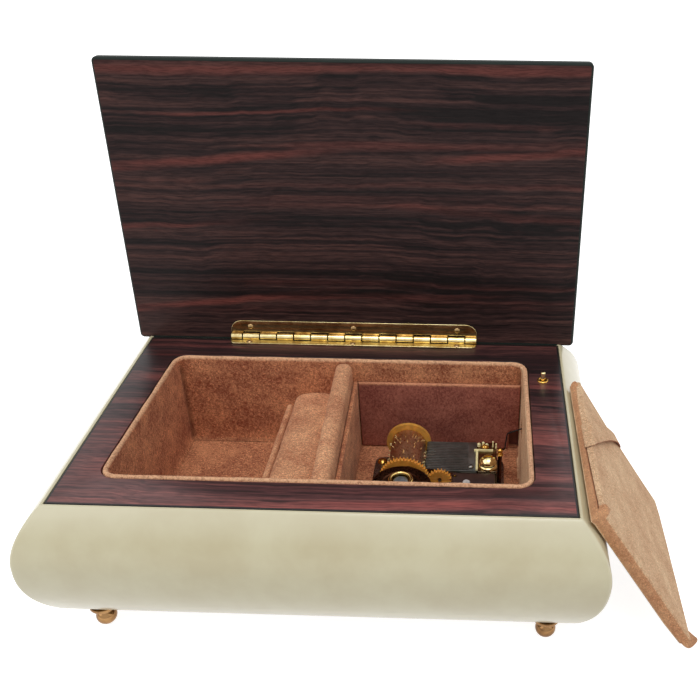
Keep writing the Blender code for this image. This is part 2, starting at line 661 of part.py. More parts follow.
def make_drum_train():
    """The pinned drum on its axle, its gear, the governor's wheel and the fan spindle."""
    drum_axis = make_empty("drum_axis", (AXLE_X, 0.0, AXLE_HEIGHT), base)
    front = GEAR_Y - GEAR_WIDTH / 2
    rear = GEAR_Y + GEAR_WIDTH / 2
    bore = SHAFT_RADIUS + RUNNING
    along_y(turned("drum_axle", [(0.0, BRACKET_REAR + 1.2), (SHAFT_RADIUS, BRACKET_REAR + 1.2),
                                 (SHAFT_RADIUS, front - 0.5), (0.0, front - 0.5)],
                   12, STEEL, drum_axis), 0.0)
    along_y(turned("drum", [(DRUM_RADIUS, DRUM_REAR), (DRUM_RADIUS, DRUM_FRONT), (bore, DRUM_FRONT),
                            (bore, DRUM_REAR)], 24, BRASS, drum_axis), 0.0)
    disc_front = DRUM_REAR + GAP
    disc_rear = disc_front + END_DISC_WIDTH
    along_y(turned("drum_end_disc", [(END_DISC_RADIUS - 0.5, disc_rear), (END_DISC_RADIUS, disc_rear - 0.5),
                                     (END_DISC_RADIUS, disc_front), (bore, disc_front), (bore, disc_rear)],
                   24, YELLOW_PLASTIC, drum_axis), 0.0)
    flat_gear("drum_gear", gear_outline(DRUM_TEETH, 0.0), bore, front, rear, AMBER_PLASTIC, drum_axis)
    wheel_axis = make_empty("governor_wheel_axis", (GOVERNOR_X, 0.0, AXLE_HEIGHT), base)
    half_tooth = math.pi / SMALL_TEETH
    flat_gear("governor_wheel", gear_outline(SMALL_TEETH, half_tooth), 0.8, front, rear, AMBER_PLASTIC,
              wheel_axis)
    along_y(turned("governor_wheel_axle", [(0.0, BRACKET_FRONT + 1.3), (0.5, BRACKET_FRONT + 1.3),
                                           (0.5, front - 0.5), (0.0, front - 0.5)],
                   8, STEEL, wheel_axis), 0.0)
    hole = SHAFT_RADIUS + RUNNING
    low = BEDPLATE_TOP + 0.1
    outline = [(AXLE_X - 5.0, low), (GOVERNOR_X + 2.0, low), (GOVERNOR_X + 2.0, AXLE_HEIGHT + 2.0),
               (AXLE_X + 3.0, AXLE_HEIGHT + 4.0), (AXLE_X - 3.0, AXLE_HEIGHT + 4.0),
               (AXLE_X - 5.0, AXLE_HEIGHT)]
    extruded("bracket_front", [outline, circle(hole, 12, (AXLE_X, AXLE_HEIGHT)),
                               circle(0.8, 8, (GOVERNOR_X, AXLE_HEIGHT))],
             -BRACKET_FRONT - 0.8, -BRACKET_FRONT, STEEL, base, turn=UPRIGHT)
    outline = [(AXLE_X - 4.0, low), (AXLE_X + 4.0, low), (AXLE_X + 3.0, AXLE_HEIGHT + 3.0),
               (AXLE_X - 3.0, AXLE_HEIGHT + 3.0)]
    extruded("bracket_rear", [outline, circle(hole, 12, (AXLE_X, AXLE_HEIGHT))],
             -BRACKET_REAR - 0.8, -BRACKET_REAR, STEEL, base, turn=UPRIGHT)


def make_governor():
    """A C shaped frame that holds the upright spindle with its worm and two fan blades."""
    spindle_x = GOVERNOR_X + PITCH_SMALL + GEAR_MODULE + WORM_RADIUS + 0.2
    frame_x = spindle_x + FAN_RADIUS + 0.4
    low = BEDPLATE_TOP + 0.1
    top = GOVERNOR_TOP
    outline = [(spindle_x - 2.2, low), (frame_x + 1.2, low), (frame_x + 1.2, top), (spindle_x - 2.2, top),
               (spindle_x - 2.2, top - 1.1), (frame_x, top - 1.1), (frame_x, low + 1.1),
               (spindle_x - 2.2, low + 1.1)]
    frame = extruded("governor_frame", [outline], -GEAR_Y - 0.9, -GEAR_Y + 3.5, BLACK_PLASTIC, base,
                     turn=UPRIGHT)
    cut(frame, cylinder_bmesh(0.75, low - 1.0, top + 1.0, 12, centre=(spindle_x, GEAR_Y)))
    spin = make_empty("governor_fan_axis", (spindle_x, GEAR_Y, 0.0), base)
    fan_low = low + 1.5
    fan_high = AXLE_HEIGHT - PITCH_SMALL - GEAR_MODULE - 0.3
    fan = turned("governor_fan", [(0.0, top + 0.3), (0.45, top + 0.3), (0.45, AXLE_HEIGHT + 3.4),
                                  (WORM_RADIUS, AXLE_HEIGHT + 3.0), (WORM_RADIUS, fan_low),
                                  (0.45, fan_low), (0.45, low + 0.2), (0.0, low + 0.2)],
                 12, BRASS, spin)
    blades = box_bmesh((2 * FAN_RADIUS, 0.7, fan_high - fan_low - 0.4), (0.0, 0.0, (fan_low + fan_high) / 2))
    cut(fan, blades, "UNION")


def make_barrel():
    """The spring barrel, its crown wheel, mainspring, top ring and the arbor with the key."""
    centre = (BARREL_X, BARREL_Y, 0.0)
    barrel_axis = make_empty("barrel_axis", centre, base)
    crown_low = BEDPLATE_TOP + GAP
    crown_high = crown_low + CROWN_THICKNESS
    half_tooth = math.pi / CROWN_TEETH
    face = 0.9
    extruded("crown_wheel", [gear_outline(CROWN_TEETH, half_tooth, face, face), circle(ARBOR_RADIUS + GAP, 16)],
             crown_low, crown_high, STEEL, barrel_axis)
    wall = 0.8
    inside = SPRING_BARREL_RADIUS - wall
    top = SPRING_BARREL_TOP
    turned("spring_barrel", [(SPRING_BARREL_RADIUS - 0.8, top), (SPRING_BARREL_RADIUS, top - 0.8),
                             (SPRING_BARREL_RADIUS, crown_high + GAP), (inside, crown_high + GAP),
                             (inside, top - 1.0), (ARBOR_RADIUS + GAP, top - 1.0),
                             (ARBOR_RADIUS + GAP, top)], 32, BARREL_BRONZE, barrel_axis)
    ring_outer = 4.3
    turned("barrel_ring", [(ring_outer - 0.3, top + 2.4), (ring_outer, top + 2.1), (ring_outer, top + GAP),
                           (ARBOR_RADIUS + GAP, top + GAP), (ARBOR_RADIUS + GAP, top + 2.4)],
           20, BRASS, barrel_axis)
    turns = 5
    steps = 18 * turns
    start = ARBOR_RADIUS + 0.6
    growth = (inside - 0.5 - start) / steps
    outer = []
    inner = []
    for step in range(steps + 1):
        angle = 2 * math.pi * step / 18
        radius = start + growth * step
        outer.append((radius * math.cos(angle), radius * math.sin(angle)))
        inner.append(((radius - SPRING_STRIP) * math.cos(angle), (radius - SPRING_STRIP) * math.sin(angle)))
    extruded("mainspring", [outer + inner[::-1]], crown_high + 0.6, top - 1.4, STEEL, barrel_axis)
    least = min(math.dist(inner[later], outer[earlier])
                for later in range(18, steps + 1) for earlier in range(later - 9))
    print("mainspring: least gap between turns, mm:", round(least, 3))
    key_axis = make_empty("key_axis", centre, base)
    bow_top = KEY_FLOOR_GAP + KEY_BOW_HEIGHT
    key = turned("winding_key", [(0.0, top + 2.0), (1.9, top + 2.0), (ARBOR_RADIUS, top + 1.6),
                                 (ARBOR_RADIUS, crown_low), (KEY_STEM, crown_low),
                                 (KEY_STEM, bow_top - 1.5), (0.0, bow_top - 1.5)], 16, STEEL, key_axis)
    bow = box_bmesh((KEY_BOW_WIDTH, 1.8, KEY_BOW_HEIGHT), (0.0, 0.0, KEY_FLOOR_GAP + KEY_BOW_HEIGHT / 2))
    tall = [edge for edge in bow.edges if abs(edge.verts[0].co.y - edge.verts[1].co.y) > 1.0]
    bmesh.ops.bevel(bow, geom=tall, offset=2.2, segments=3, profile=0.5, affect="EDGES")
    cut(key, bow, "UNION")


def make_comb():
    """The comb of tuned teeth, its base, its clamp plate and their screws."""
    tip = AXLE_X + DRUM_RADIUS + COMB_TIP_CLEARANCE
    root = tip + COMB_TOOTH_LENGTH
    end = tip + COMB_LENGTH
    pitch = (COMB_REAR - COMB_FRONT) / COMB_TEETH
    outline = [(end, COMB_FRONT), (end, COMB_REAR)]
    for index in reversed(range(COMB_TEETH)):
        low = COMB_FRONT + (index + 0.5 - TOOTH_FRACTION / 2) * pitch
        high = COMB_FRONT + (index + 0.5 + TOOTH_FRACTION / 2) * pitch
        outline += [(root, high), (tip, high), (tip, low), (root, low)]
    low = COMB_TOP - COMB_THICKNESS
    extruded("comb", [outline], low, COMB_TOP, COMB_STEEL, base)
    base_left = root + 1.5
    plate_left = end + GAP
    plate_right = plate_left + CLAMP_WIDTH
    box("comb_base", (base_left, COMB_FRONT, BEDPLATE_TOP + 0.1), (plate_right, COMB_REAR, low - GAP), BRASS, base)
    box("comb_clamp", (plate_left, COMB_FRONT, low), (plate_right, COMB_REAR, COMB_TOP), BRASS, base)
    middle = (plate_left + plate_right) / 2
    dome_screw("comb_screw_large", 3.0, 2.0, (middle, COMB_FRONT + 5.6, COMB_TOP + 0.1))
    dome_screw("comb_screw_rear", 2.0, 1.3, (middle - 0.8, COMB_REAR - 3.0, COMB_TOP + 0.1))
    dome_screw("comb_screw_small", 1.2, 0.8, (end - 2.2, COMB_FRONT + 2.6, COMB_TOP + 0.1))


def dome_screw(name, radius, height, foot, material=None):
    """A screw's dome head standing on a face."""
    turned(name, [(0.0, height), (0.55 * radius, 0.85 * height), (0.9 * radius, 0.5 * height), (radius, 0.0),
                  (0.0, 0.0)], 12, material or BRASS, base, foot)


def make_bedplate():
    """The movement's bedplate on the tray's floor, with the screws that hold it down."""
    extruded("bedplate", [rounded_rect(BEDPLATE_WIDTH / 2, BEDPLATE_DEPTH / 2, 3.0, 3,
                                       (BEDPLATE_X, BEDPLATE_Y)),
                          circle(KEY_STEM + 0.6, 16, (BARREL_X, BARREL_Y))],
             BEDPLATE_BOTTOM, BEDPLATE_TOP, STEEL, base)
    left = BEDPLATE_X - BEDPLATE_WIDTH / 2 + 2.8
    right = BEDPLATE_X + BEDPLATE_WIDTH / 2 - 3.0
    rear = BEDPLATE_Y + BEDPLATE_DEPTH / 2 - 3.0
    places = ((left, rear), (left, rear - BED_SCREW_SPACING), (right, BEDPLATE_Y - BEDPLATE_DEPTH / 2 + 4.0))
    for number, (x, y) in enumerate(places, start=1):
        dome_screw("bed_screw_" + str(number), 2.0, 1.2, (x, y, BEDPLATE_TOP + 0.1), STEEL)


def make_stop_wire():
    """The stop wire from its post on the comb clamp, through the tray's wall, to under the stop pin."""
    x, y, z = WIRE_PIVOT
    turned("stop_post", [(0.0, z - BEDPLATE_TOP + 1.6), (1.0, z - BEDPLATE_TOP + 1.3),
                         (1.5, z - BEDPLATE_TOP + 0.8), (0.9, z - BEDPLATE_TOP + 0.4),
                         (0.9, 0.1), (0.0, 0.1)], 12, BRASS, base,
           (x, y - 1.6, BEDPLATE_TOP))
    pivot = make_empty("stop_wire_axis", WIRE_PIVOT, base)
    end_z = STOP_PIN_FOOT - GAP - WIRE_RADIUS
    route = [(x, y, z), (x + 2.2, y + 2.2, z + 0.2), (x + 3.0, y + 4.6, z + 2.6), (x + 3.1, y + 5.0, end_z - 0.8),
             (x + 3.6, y + 5.3, end_z), (INNER_X, WIRE_WALL_Y, end_z), (STOP_X + 0.5, STOP_Y, end_z)]
    curve = bpy.data.curves.new("stop_wire", "CURVE")
    curve.dimensions = "3D"
    curve.bevel_depth = WIRE_RADIUS * MM
    curve.bevel_resolution = 1
    curve.use_fill_caps = True
    spline = curve.splines.new("POLY")
    spline.points.add(len(route) - 1)
    for point, spot in zip(spline.points, route):
        point.co = (*((Vector(spot) - Vector(WIRE_PIVOT)) * MM), 1.0)
    wire = bpy.data.objects.new("stop_wire", curve)
    place(wire, STEEL, pivot)


def make_cover():
    """The loose padded cover that leans on the case's right wall, and its pull strap.

    Its local x runs down the slope, y along the box and z out of its upper face.
    """
    slope = math.radians(COVER_SLOPE_DEG)
    yaw = math.radians(COVER_YAW_DEG)
    normal = Vector((math.sin(slope) * math.cos(yaw), math.sin(slope) * math.sin(yaw), math.cos(slope)))
    half_t = COVER_THICKNESS / 2
    centre_z = COVER_WIDTH / 2 * math.sin(slope) + half_t * math.cos(slope)
    reach = -math.inf
    for step in range(61):
        height = CASE_BOTTOM + (DECK_TOP - CASE_BOTTOM) * step / 60
        for end in (COVER_CENTRE_Y - COVER_LENGTH / 2, COVER_CENTRE_Y + COVER_LENGTH / 2):
            reach = max(reach, normal.dot((HALF_W + bulge_at(height), end, height)))
    beside = normal.y * COVER_CENTRE_Y + normal.z * centre_z
    centre_x = (reach + COVER_CASE_GAP + half_t - beside) / normal.x
    axis = make_empty("cover_place", (centre_x, COVER_CENTRE_Y, centre_z), base, (0.0, slope, yaw))
    bm = bmesh.new()
    levels = [(-half_t, 1.0), (-half_t + 0.5, 0.2), (0.0, 0.0), (half_t - 0.6, 0.2), (half_t, 1.3),
              (half_t + 0.6 * COVER_CROWN, 9.0), (half_t + COVER_CROWN, 20.0)]
    rings = []
    for height, inset in levels:
        corner = max(0.6, 2.4 - inset)
        outline = rounded_rect(COVER_WIDTH / 2 - inset, COVER_LENGTH / 2 - inset, corner, 3)
        rings.append([bm.verts.new((x, y, height)) for x, y in outline])
    count = len(rings[0])
    for first, second in zip(rings, rings[1:]):
        for index in range(count):
            after = (index + 1) % count
            bm.faces.new((first[index], first[after], second[after], second[index]))
    bm.faces.new(rings[0])
    bm.faces.new(rings[-1])
    mesh_object("cover_pad", bm, COVER_SUEDE, axis)
    half_x = COVER_WIDTH / 2
    half_y = COVER_LENGTH / 2
    foot = half_t + COVER_CROWN + 0.2
    outline = [(-half_x, STRAP_ON_TOP[0]), (STRAP_ON_REAR[1], half_y), (STRAP_ON_REAR[0], half_y),
               (-half_x, STRAP_ON_TOP[1])]
    extruded("cover_strap", [outline], foot, foot + STRAP_THICKNESS, COVER_SUEDE, axis)


def centre_on_floor():
    """Move the whole box so that the middle of its overall footprint is at x = 0, y = 0."""
    bpy.context.view_layer.update()
    graph = bpy.context.evaluated_depsgraph_get()
    corners = []
    for obj in parts.objects:
        if obj.type != "EMPTY":
            shown = obj.evaluated_get(graph)
            corners += [shown.matrix_world @ vertex.co for vertex in shown.to_mesh().vertices]
    for axis in (0, 1):
        places = [corner[axis] for corner in corners]
        base.location[axis] = -(min(places) + max(places)) / 2
    bpy.context.view_layer.update()
    print("case centre in the overall frame, mm:", [round(v / MM, 4) for v in base.location])
    for name in ("lid_axis", "stop_pin_axis", "stop_wire_axis", "drum_axis", "governor_wheel_axis",
                 "governor_fan_axis", "barrel_axis", "key_axis", "cover_place"):
        spot = bpy.data.objects[name].matrix_world.translation / MM
        print(name, [round(v, 4) for v in spot])


make_case()
make_tray()
make_lid()
make_stop()
make_bedplate()
make_barrel()
make_drum_train()
make_governor()
make_comb()
make_stop_wire()
make_cover()
centre_on_floor()
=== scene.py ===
"""The looks of the music box: fine meshes, materials, light and the photograph's camera.

Sizes are in millimetres from the middle of the case, with the floor at z = 0. TO_WORLD turns them
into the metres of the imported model's frame.
"""
import random
from math import asin, cos, degrees, pi, radians, sin, sqrt

import bmesh
import bpy
from mathutils import Matrix, Vector, noise


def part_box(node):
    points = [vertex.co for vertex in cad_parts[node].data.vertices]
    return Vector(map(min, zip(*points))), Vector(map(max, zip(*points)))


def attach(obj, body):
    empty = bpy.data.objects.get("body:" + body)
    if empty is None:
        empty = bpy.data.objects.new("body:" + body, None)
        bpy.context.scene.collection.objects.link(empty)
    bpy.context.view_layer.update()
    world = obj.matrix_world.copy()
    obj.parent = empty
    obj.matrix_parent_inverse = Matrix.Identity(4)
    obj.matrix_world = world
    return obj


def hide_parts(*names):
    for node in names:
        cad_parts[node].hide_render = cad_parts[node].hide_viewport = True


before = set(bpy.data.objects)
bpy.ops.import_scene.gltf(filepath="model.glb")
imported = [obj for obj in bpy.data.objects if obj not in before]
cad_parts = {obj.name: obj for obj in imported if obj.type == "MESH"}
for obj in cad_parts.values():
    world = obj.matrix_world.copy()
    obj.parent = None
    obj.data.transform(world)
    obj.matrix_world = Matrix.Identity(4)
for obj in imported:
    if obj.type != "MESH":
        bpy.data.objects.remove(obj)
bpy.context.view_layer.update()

MM = 0.001
DECK_LOW, DECK_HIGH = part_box("deck_frame")
CENTRE = Vector(((DECK_LOW[0] + DECK_HIGH[0]) / 2, (DECK_LOW[1] + DECK_HIGH[1]) / 2, 0.0))
TO_WORLD = Matrix.Translation(CENTRE) @ Matrix.Scale(MM, 4)

# Case
HALF_W = 82.5
HALF_D = 51.0
DECK_TOP = 57.0
DECK_THICKNESS = 3.0
CASE_BOTTOM = 9.8
BULGE = 10.5
BULGE_HEIGHT = 38.0
RIM = 1.0
REAR_TRIM = 0.6
BOTTOM_INSET = 5.9
WALL_INNER = 9.0
CORNER_SOFTNESS = 1.5
LEFT_FULLER = 0.8
FOOT_X = 75.3
FOOT_Y = 45.8
GAP = 0.3

# Tray
TRAY_X = 69.9
TRAY_Y = 38.1
TRAY_CORNER = 6.0
LINER_X = TRAY_X - GAP
LINER_Y = TRAY_Y - GAP
LINER_WALL = 1.8
INNER_X = LINER_X - LINER_WALL
INNER_Y = LINER_Y - LINER_WALL
LINER_TOP = DECK_TOP + 0.4
LINER_ROUND = 1.2
TRAY_FLOOR_TOP = 17.2
TRAY_FLOOR_LOW = 13.6
DIVIDER_X = -0.5
DIVIDER_THICKNESS = 6.5
DIVIDER_TOP = 56.0
RIDGE_THICKNESS = 2.5
RIDGE_TOP = 36.0
RING_SLOT = 1.2
ROLL_WIDTH = 18.4
ROLL_TOP = 42.0
LEDGE_TOP = 48.0
LEDGE_THICKNESS = 1.7
CLOTH_FOOT = 17.5
DIVIDER_SHIFT = -0.55
DIVIDER_SLANT = -0.03
SLOT_LEFT = 63.5

# Lid and hinge
AXIS_Y = 51.0
AXIS_Z = 58.55
LID_OPEN_DEG = 92.7
LID_HALF_X = 88.45
LID_OFF_CENTRE = 0.35
LID_FRONT = -108.6
LID_BEHIND_AXIS = 2.6
LID_LOW = 1.55
LID_THICKNESS = 4.6
LID_CORNER = 1.8
LID_EDGE = 1.3
HINGE_LENGTH = 99.6
KNUCKLES = 15
BARREL_RADIUS = 1.4
LEAF_THICKNESS = 0.6
UPPER_LEAF_WIDTH = 6.6
LOWER_LEAF_WIDTH = 4.1
UPPER_LEAF_CORNER = 4.6
LOWER_LEAF_CORNER = 2.5
UPPER_LEAF_SLOT = 0.4
LOWER_LEAF_SLOT = 0.12
LEAF_EDGE = 0.35
KNUCKLE_GAP = 0.21
END_KNUCKLE = 4.8
NAIL_SPACING = 41.8
LID_NAIL_ROW = 3.9
DECK_NAIL_ROW = 2.8

# Veneer: how far its lines sway, and the deck's painted light in front and painted shade at the rear and at
# its left end
SLOW_SWAY = 0.009
QUICK_SWAY = 0.0017
DECK_FRONT_PAINTED_LIGHT = 1.3
DECK_REAR_PAINTED_SHADE = 0.54
DECK_LEFT_PAINTED_SHADE = 0.72

# Long red streaks on the lid: x and height over the hinge at both ends, half width, strength
RED_BANDS = ((-95.0, 105.0, 95.0, 104.6, 2.2, 0.8), (-58.0, 89.3, -8.0, 89.8, 0.7, 0.6),
             (-95.0, 69.8, -30.0, 74.3, 1.7, 0.95), (46.0, 73.6, 95.0, 77.4, 1.6, 0.75),
             (22.0, 55.2, 95.0, 50.2, 1.6, 0.8), (-95.0, 45.4, -60.0, 47.6, 1.2, 0.7),
             (-95.0, 9.3, -38.0, 15.6, 1.7, 0.95), (-38.0, 15.6, 30.0, 18.6, 1.3, 0.6))
BAND_FADE_IN = 18.0
BAND_FADE_OUT = 40.0

# Stop pin and its wire
STOP = (75.1, 25.1)
STOP_PIN_TOP = 60.8
STOP_PIN_FOOT = 38.6
WIRE_PIVOT = (59.6, 13.0, 31.0)
WIRE_RADIUS = 0.27
WIRE_WALL_Y = 21.0

# Movement
AXLE_X = 24.1
AXLE_Z = 28.8
GEAR_MODULE = 0.41
DRUM_TEETH = 44
SMALL_TEETH = 20
CROWN_TEETH = 64
GEAR_Y = 0.1
GEAR_WIDTH = 1.4
DRUM_RADIUS = 6.65
DRUM_FRONT = 2.9
DRUM_REAR = 21.3
END_DISC_RADIUS = 8.7
END_DISC_THICKNESS = 1.5
SPRING_BARREL_RADIUS = 11.0
SPRING_BARREL_TOP = 36.6
CROWN_THICKNESS = 0.9
BARREL_Y = GEAR_Y - CROWN_TEETH * GEAR_MODULE / 2
GOVERNOR_X = AXLE_X + (DRUM_TEETH + SMALL_TEETH) * GEAR_MODULE / 2
SPINDLE_X = GOVERNOR_X + SMALL_TEETH * GEAR_MODULE / 2 + GEAR_MODULE + 1.1
BEDPLATE_TOP = 18.7
COMB_TEETH = 18
COMB_TIP = 31.45
SLOT_END = 47.5
COMB_END = 50.85
COMB_FRONT = 3.6
COMB_REAR = 21.6
COMB_TOP = 29.9
COMB_THICKNESS = 0.9
CLAMP_WIDTH = 7.3
HOUSING_TOP = 30.4
HOUSING_FRONT = -4.9
HOUSING_REAR = 2.0
HOUSING_RIGHT = 57.6
CAP_PLACE = (47.2, -4.2)
DRUM_BORE = 1.3
PIN_SHARE = 0.13
PIN_ROWS = 40
WORM_RADIUS = 0.62
WORM_PITCH = 0.8
WORM_LOW = 24.8
WORM_TURNS = 5
FAN_REACH = 3.2
FAN_LOW = 20.4
FAN_HIGH = 23.6
BRIDGE = 1.3

# Bits on the comb clamp, pale gold as painted highlights: x, y, radius and height
CLAMP_BITS = ((51.6, 19.4, 0.75, 1.3), (53.2, 19.7, 0.6, 1.7), (54.6, 19.3, 0.7, 1.2),
              (57.0, 19.0, 0.4, 2.6), (58.2, 18.2, 0.4, 2.2))

# Loose cover. Its lower end is a little short, and shorter still at the corner
COVER_LENGTH = 73.9
COVER_WIDTH = 67.5
COVER_THICKNESS = 4.2
COVER_X = COVER_WIDTH / 2
COVER_Y = COVER_LENGTH / 2
COVER_CROWN = 0.5
COVER_SLOPE_DEG = 58.1
COVER_YAW_DEG = 0.95
LOWER_END_IN = 2.5
LOWER_CORNER_IN = 3.2
LOWER_END_ASIDE = 2.1
LOWER_CORNER_ASIDE = 1.4
SLIT_START = 0.11
SLIT_END = 0.52
STRAP_THICKNESS = 0.7
STRAP_ON_TOP = (-2.6, 10.2)
STRAP_ON_REAR = (-5.8, 0.9)

# Turned corners of the cover's cloth, as outlines on the cover
UPPER_FOLD = ((-COVER_X + 0.4, COVER_Y - 2.4, 1.0), (-COVER_X - 1.9, COVER_Y - 0.3, 0.6),
              (-COVER_X - 0.4, COVER_Y - 0.6, -2.1), (-COVER_X - 0.2, COVER_Y - 4.4, -0.6))
LOWER_FOLD = ((22.0, -37.2, 1.5), (27.4, -34.0, 1.9), (31.0, -33.4, 2.2), (35.9, -32.0, 2.6),
              (34.8, -34.6, 0.7), (31.6, -37.8, -0.3), (27.2, -38.8, -1.0), (21.0, -38.0, -1.3))

# Light
ROOM_LIGHT = 0.45
KEY_LIGHT = 1.0
LEFT_LIGHT = 0.5
RIGHT_LIGHT = 0.25
FLOOR_LIFT = 0.88
FLOOR_GREY = 0.68
KEY_ANGLE = 32.0
SIDE_ANGLE = 50.0

# Camera: place, lens in mm, shift, and heading, downward tilt and roll in degrees
CAMERA_PLACE = (51.0, -255.7, 238.4)
LENS = 45.36
CAMERA_SHIFT = (-0.1526, -0.008)
HEADING = 1.7248
TILT = 30.629
ROLL = 0.3346


def at(x, y, z=0.0):
    """A place as a matrix."""
    return Matrix.Translation((x, y, z))


def spin(angle, axis):
    """A turn in degrees about an axis as a matrix."""
    return Matrix.Rotation(radians(angle), 4, axis)


DECK_LEAF_PLACE = at(0.0, AXIS_Y, AXIS_Z)
LID_TURN = DECK_LEAF_PLACE @ spin(-LID_OPEN_DEG, "X")
ALONG_Y = spin(-90.0, "X")
UPRIGHT = spin(90.0, "X")


def world_x(x):
    """An x in millimetres from the case's middle, in the frame's metres."""
    return CENTRE.x + x * MM


def world_y(y):
    """A y in millimetres from the case's middle, in the frame's metres."""
    return CENTRE.y + y * MM


def limited(value):
    """A value kept between 0 and 1."""
    return min(1.0, max(0.0, value))


def srgb(red, green, blue):
    """An 8-bit screen colour as the linear colour that a node takes."""
    linear = []
    for value in (red, green, blue):
        part = value / 255.0
        linear.append(part / 12.92 if part <= 0.04045 else ((part + 0.055) / 1.055) ** 2.4)
    return (*linear, 1.0)


def darker(colour, share):
    """A linear colour made darker."""
    return (*(share * value for value in colour[:3]), 1.0)


def feed(tree, socket, value):
    """Link a socket to the one given, or set its value."""
    if isinstance(value, bpy.types.NodeSocket):
        tree.links.new(value, socket)
    else:
        socket.default_value = value


def add(tree, kind, inputs=None, **settings):
    """Add a node, with its settings and its inputs."""
    node = tree.nodes.new(kind)
    for name, value in settings.items():
        setattr(node, name, value)
    for name, value in (inputs or {}).items():
        feed(tree, node.inputs[name], value)
    return node


def start_material(name, **inputs):
    """A new Principled material: its tree, its shader and itself."""
    material = bpy.data.materials.new(name)
    material.use_nodes = True
    shader = material.node_tree.nodes["Principled BSDF"]
    for key, value in inputs.items():
        shader.inputs[key.replace("_", " ")].default_value = value
    return material.node_tree, shader, material


def object_place(tree, scale=(1.0, 1.0, 1.0), shift=(0.0, 0.0, 0.0)):
    """The point on the object, stretched, for a texture."""
    point = add(tree, "ShaderNodeTexCoord").outputs["Object"]
    return add(tree, "ShaderNodeMapping", {"Vector": point, "Scale": scale, "Location": shift}).outputs[0]


def axes(tree):
    """The x, y and z of the point on the object."""
    return add(tree, "ShaderNodeSeparateXYZ", {"Vector": object_place(tree)}).outputs[:]


def noise_at(tree, vector, scale, detail=3.0, roughness=0.55, distortion=0.0):
    """A noise texture's value."""
    inputs = {"Vector": vector, "Scale": scale, "Detail": detail, "Roughness": roughness,
              "Distortion": distortion}
    return add(tree, "ShaderNodeTexNoise", inputs).outputs["Fac"]


def ramp(tree, factor, stops):
    """A colour ramp through (place, colour) stops."""
    node = add(tree, "ShaderNodeValToRGB", {"Fac": factor})
    elements = node.color_ramp.elements
    while len(elements) < len(stops):
        elements.new(0.5)
    for element, (place, colour) in zip(elements, stops):
        element.position = place
        element.color = colour
    return node.outputs["Color"]


def blend_colours(tree, factor, first, second, mode="MIX"):
    """Two colours mixed."""
    inputs = {0: factor, 6: first, 7: second}
    return add(tree, "ShaderNodeMix", inputs, data_type="RGBA", blend_type=mode).outputs[2]


def calculate(tree, operation, *values):
    """A Math node's value."""
    return add(tree, "ShaderNodeMath", dict(enumerate(values)), operation=operation).outputs[0]


def times(tree, first, second):
    """Two values multiplied."""
    return calculate(tree, "MULTIPLY", first, second)


def spread(tree, value, from_low, from_high, to_low, to_high):
    """A value carried from one range to another."""
    return add(tree, "ShaderNodeMapRange", {"Value": value, "From Min": from_low, "From Max": from_high,
                                            "To Min": to_low, "To Max": to_high}).outputs["Result"]


def bump(tree, shader, height, strength, distance):
    """Join a height to the shader as bump."""
    node = add(tree, "ShaderNodeBump", {"Height": height, "Strength": strength, "Distance": distance})
    tree.links.new(node.outputs["Normal"], shader.inputs["Normal"])


def rosewood(name, shift, tint=(1.0, 1.0, 1.0), shine=0.2, bands=(), deck=False):
    """Rosewood veneer: near black and red-brown streaks along x under a satin lacquer."""
    tree, shader, material = start_material(name, Specular_IOR_Level=shine)
    slow = noise_at(tree, object_place(tree, (9.0, 17.0, 17.0), shift), 1.0, 1.0)
    quick = noise_at(tree, object_place(tree, (80.0, 45.0, 45.0), shift), 1.0, 1.0)
    lift = calculate(tree, "MULTIPLY_ADD", calculate(tree, "SUBTRACT", slow, 0.5), SLOW_SWAY,
                     times(tree, calculate(tree, "SUBTRACT", quick, 0.5), QUICK_SWAY))
    raised = add(tree, "ShaderNodeCombineXYZ", {"Y": lift, "Z": lift}).outputs[0]
    swayed = add(tree, "ShaderNodeVectorMath", {0: object_place(tree, shift=shift), 1: raised}).outputs[0]

    def streaks(along, across, detail, roughness=0.5):
        """Noise drawn out along the grain."""
        drawn = add(tree, "ShaderNodeMapping", {"Vector": swayed, "Scale": (along, across, across)})
        return noise_at(tree, drawn.outputs[0], 1.0, detail, roughness)

    stripes = streaks(4.0, 300.0, 1.0)
    fine = streaks(150.0, 1900.0, 2.0, 0.7)
    tone = times(tree, streaks(7.0, 980.0, 2.0), 0.36)
    for wave, share in ((stripes, 0.34), (streaks(2.0, 75.0, 1.0), 0.3)):
        tone = calculate(tree, "MULTIPLY_ADD", wave, share, tone)
    colour = ramp(tree, tone, [(0.41, srgb(30, 24, 24)), (0.47, srgb(49, 35, 35)), (0.53, srgb(66, 47, 45)),
                               (0.59, srgb(84, 58, 54))])
    red = spread(tree, streaks(3.5, 150.0, 1.0), 0.58, 0.70, 0.0, 0.4)
    for band in bands:
        red = calculate(tree, "MAXIMUM", red, red_band(tree, band, lift))
    red = times(tree, red, spread(tree, stripes, 0.38, 0.56, 0.25, 1.0))
    colour = blend_colours(tree, red, colour, srgb(114, 64, 58))
    pores = ramp(tree, fine, [(0.36, (0.55, 0.54, 0.56, 1.0)), (0.54, (1.0, 1.0, 1.0, 1.0)),
                              (0.72, (1.3, 1.25, 1.24, 1.0))])
    colour = blend_colours(tree, 0.85, colour, pores, "MULTIPLY")
    colour = blend_colours(tree, 1.0, colour, (*tint, 1.0), "MULTIPLY")
    if deck:
        # The deck gets painted shade at its rear and left end and painted light in front, then its dark
        # border.
        colour = blend_colours(tree, 1.0, colour, painted_deck_light_and_shade(tree), "MULTIPLY")
        colour = blend_colours(tree, edge_mask(tree), colour, srgb(28, 24, 24))
    feed(tree, shader.inputs["Base Color"], colour)
    feed(tree, shader.inputs["Roughness"], spread(tree, fine, 0.3, 0.7, 0.42, 0.3))
    bump(tree, shader, fine, 0.12, 0.0001)
    return material


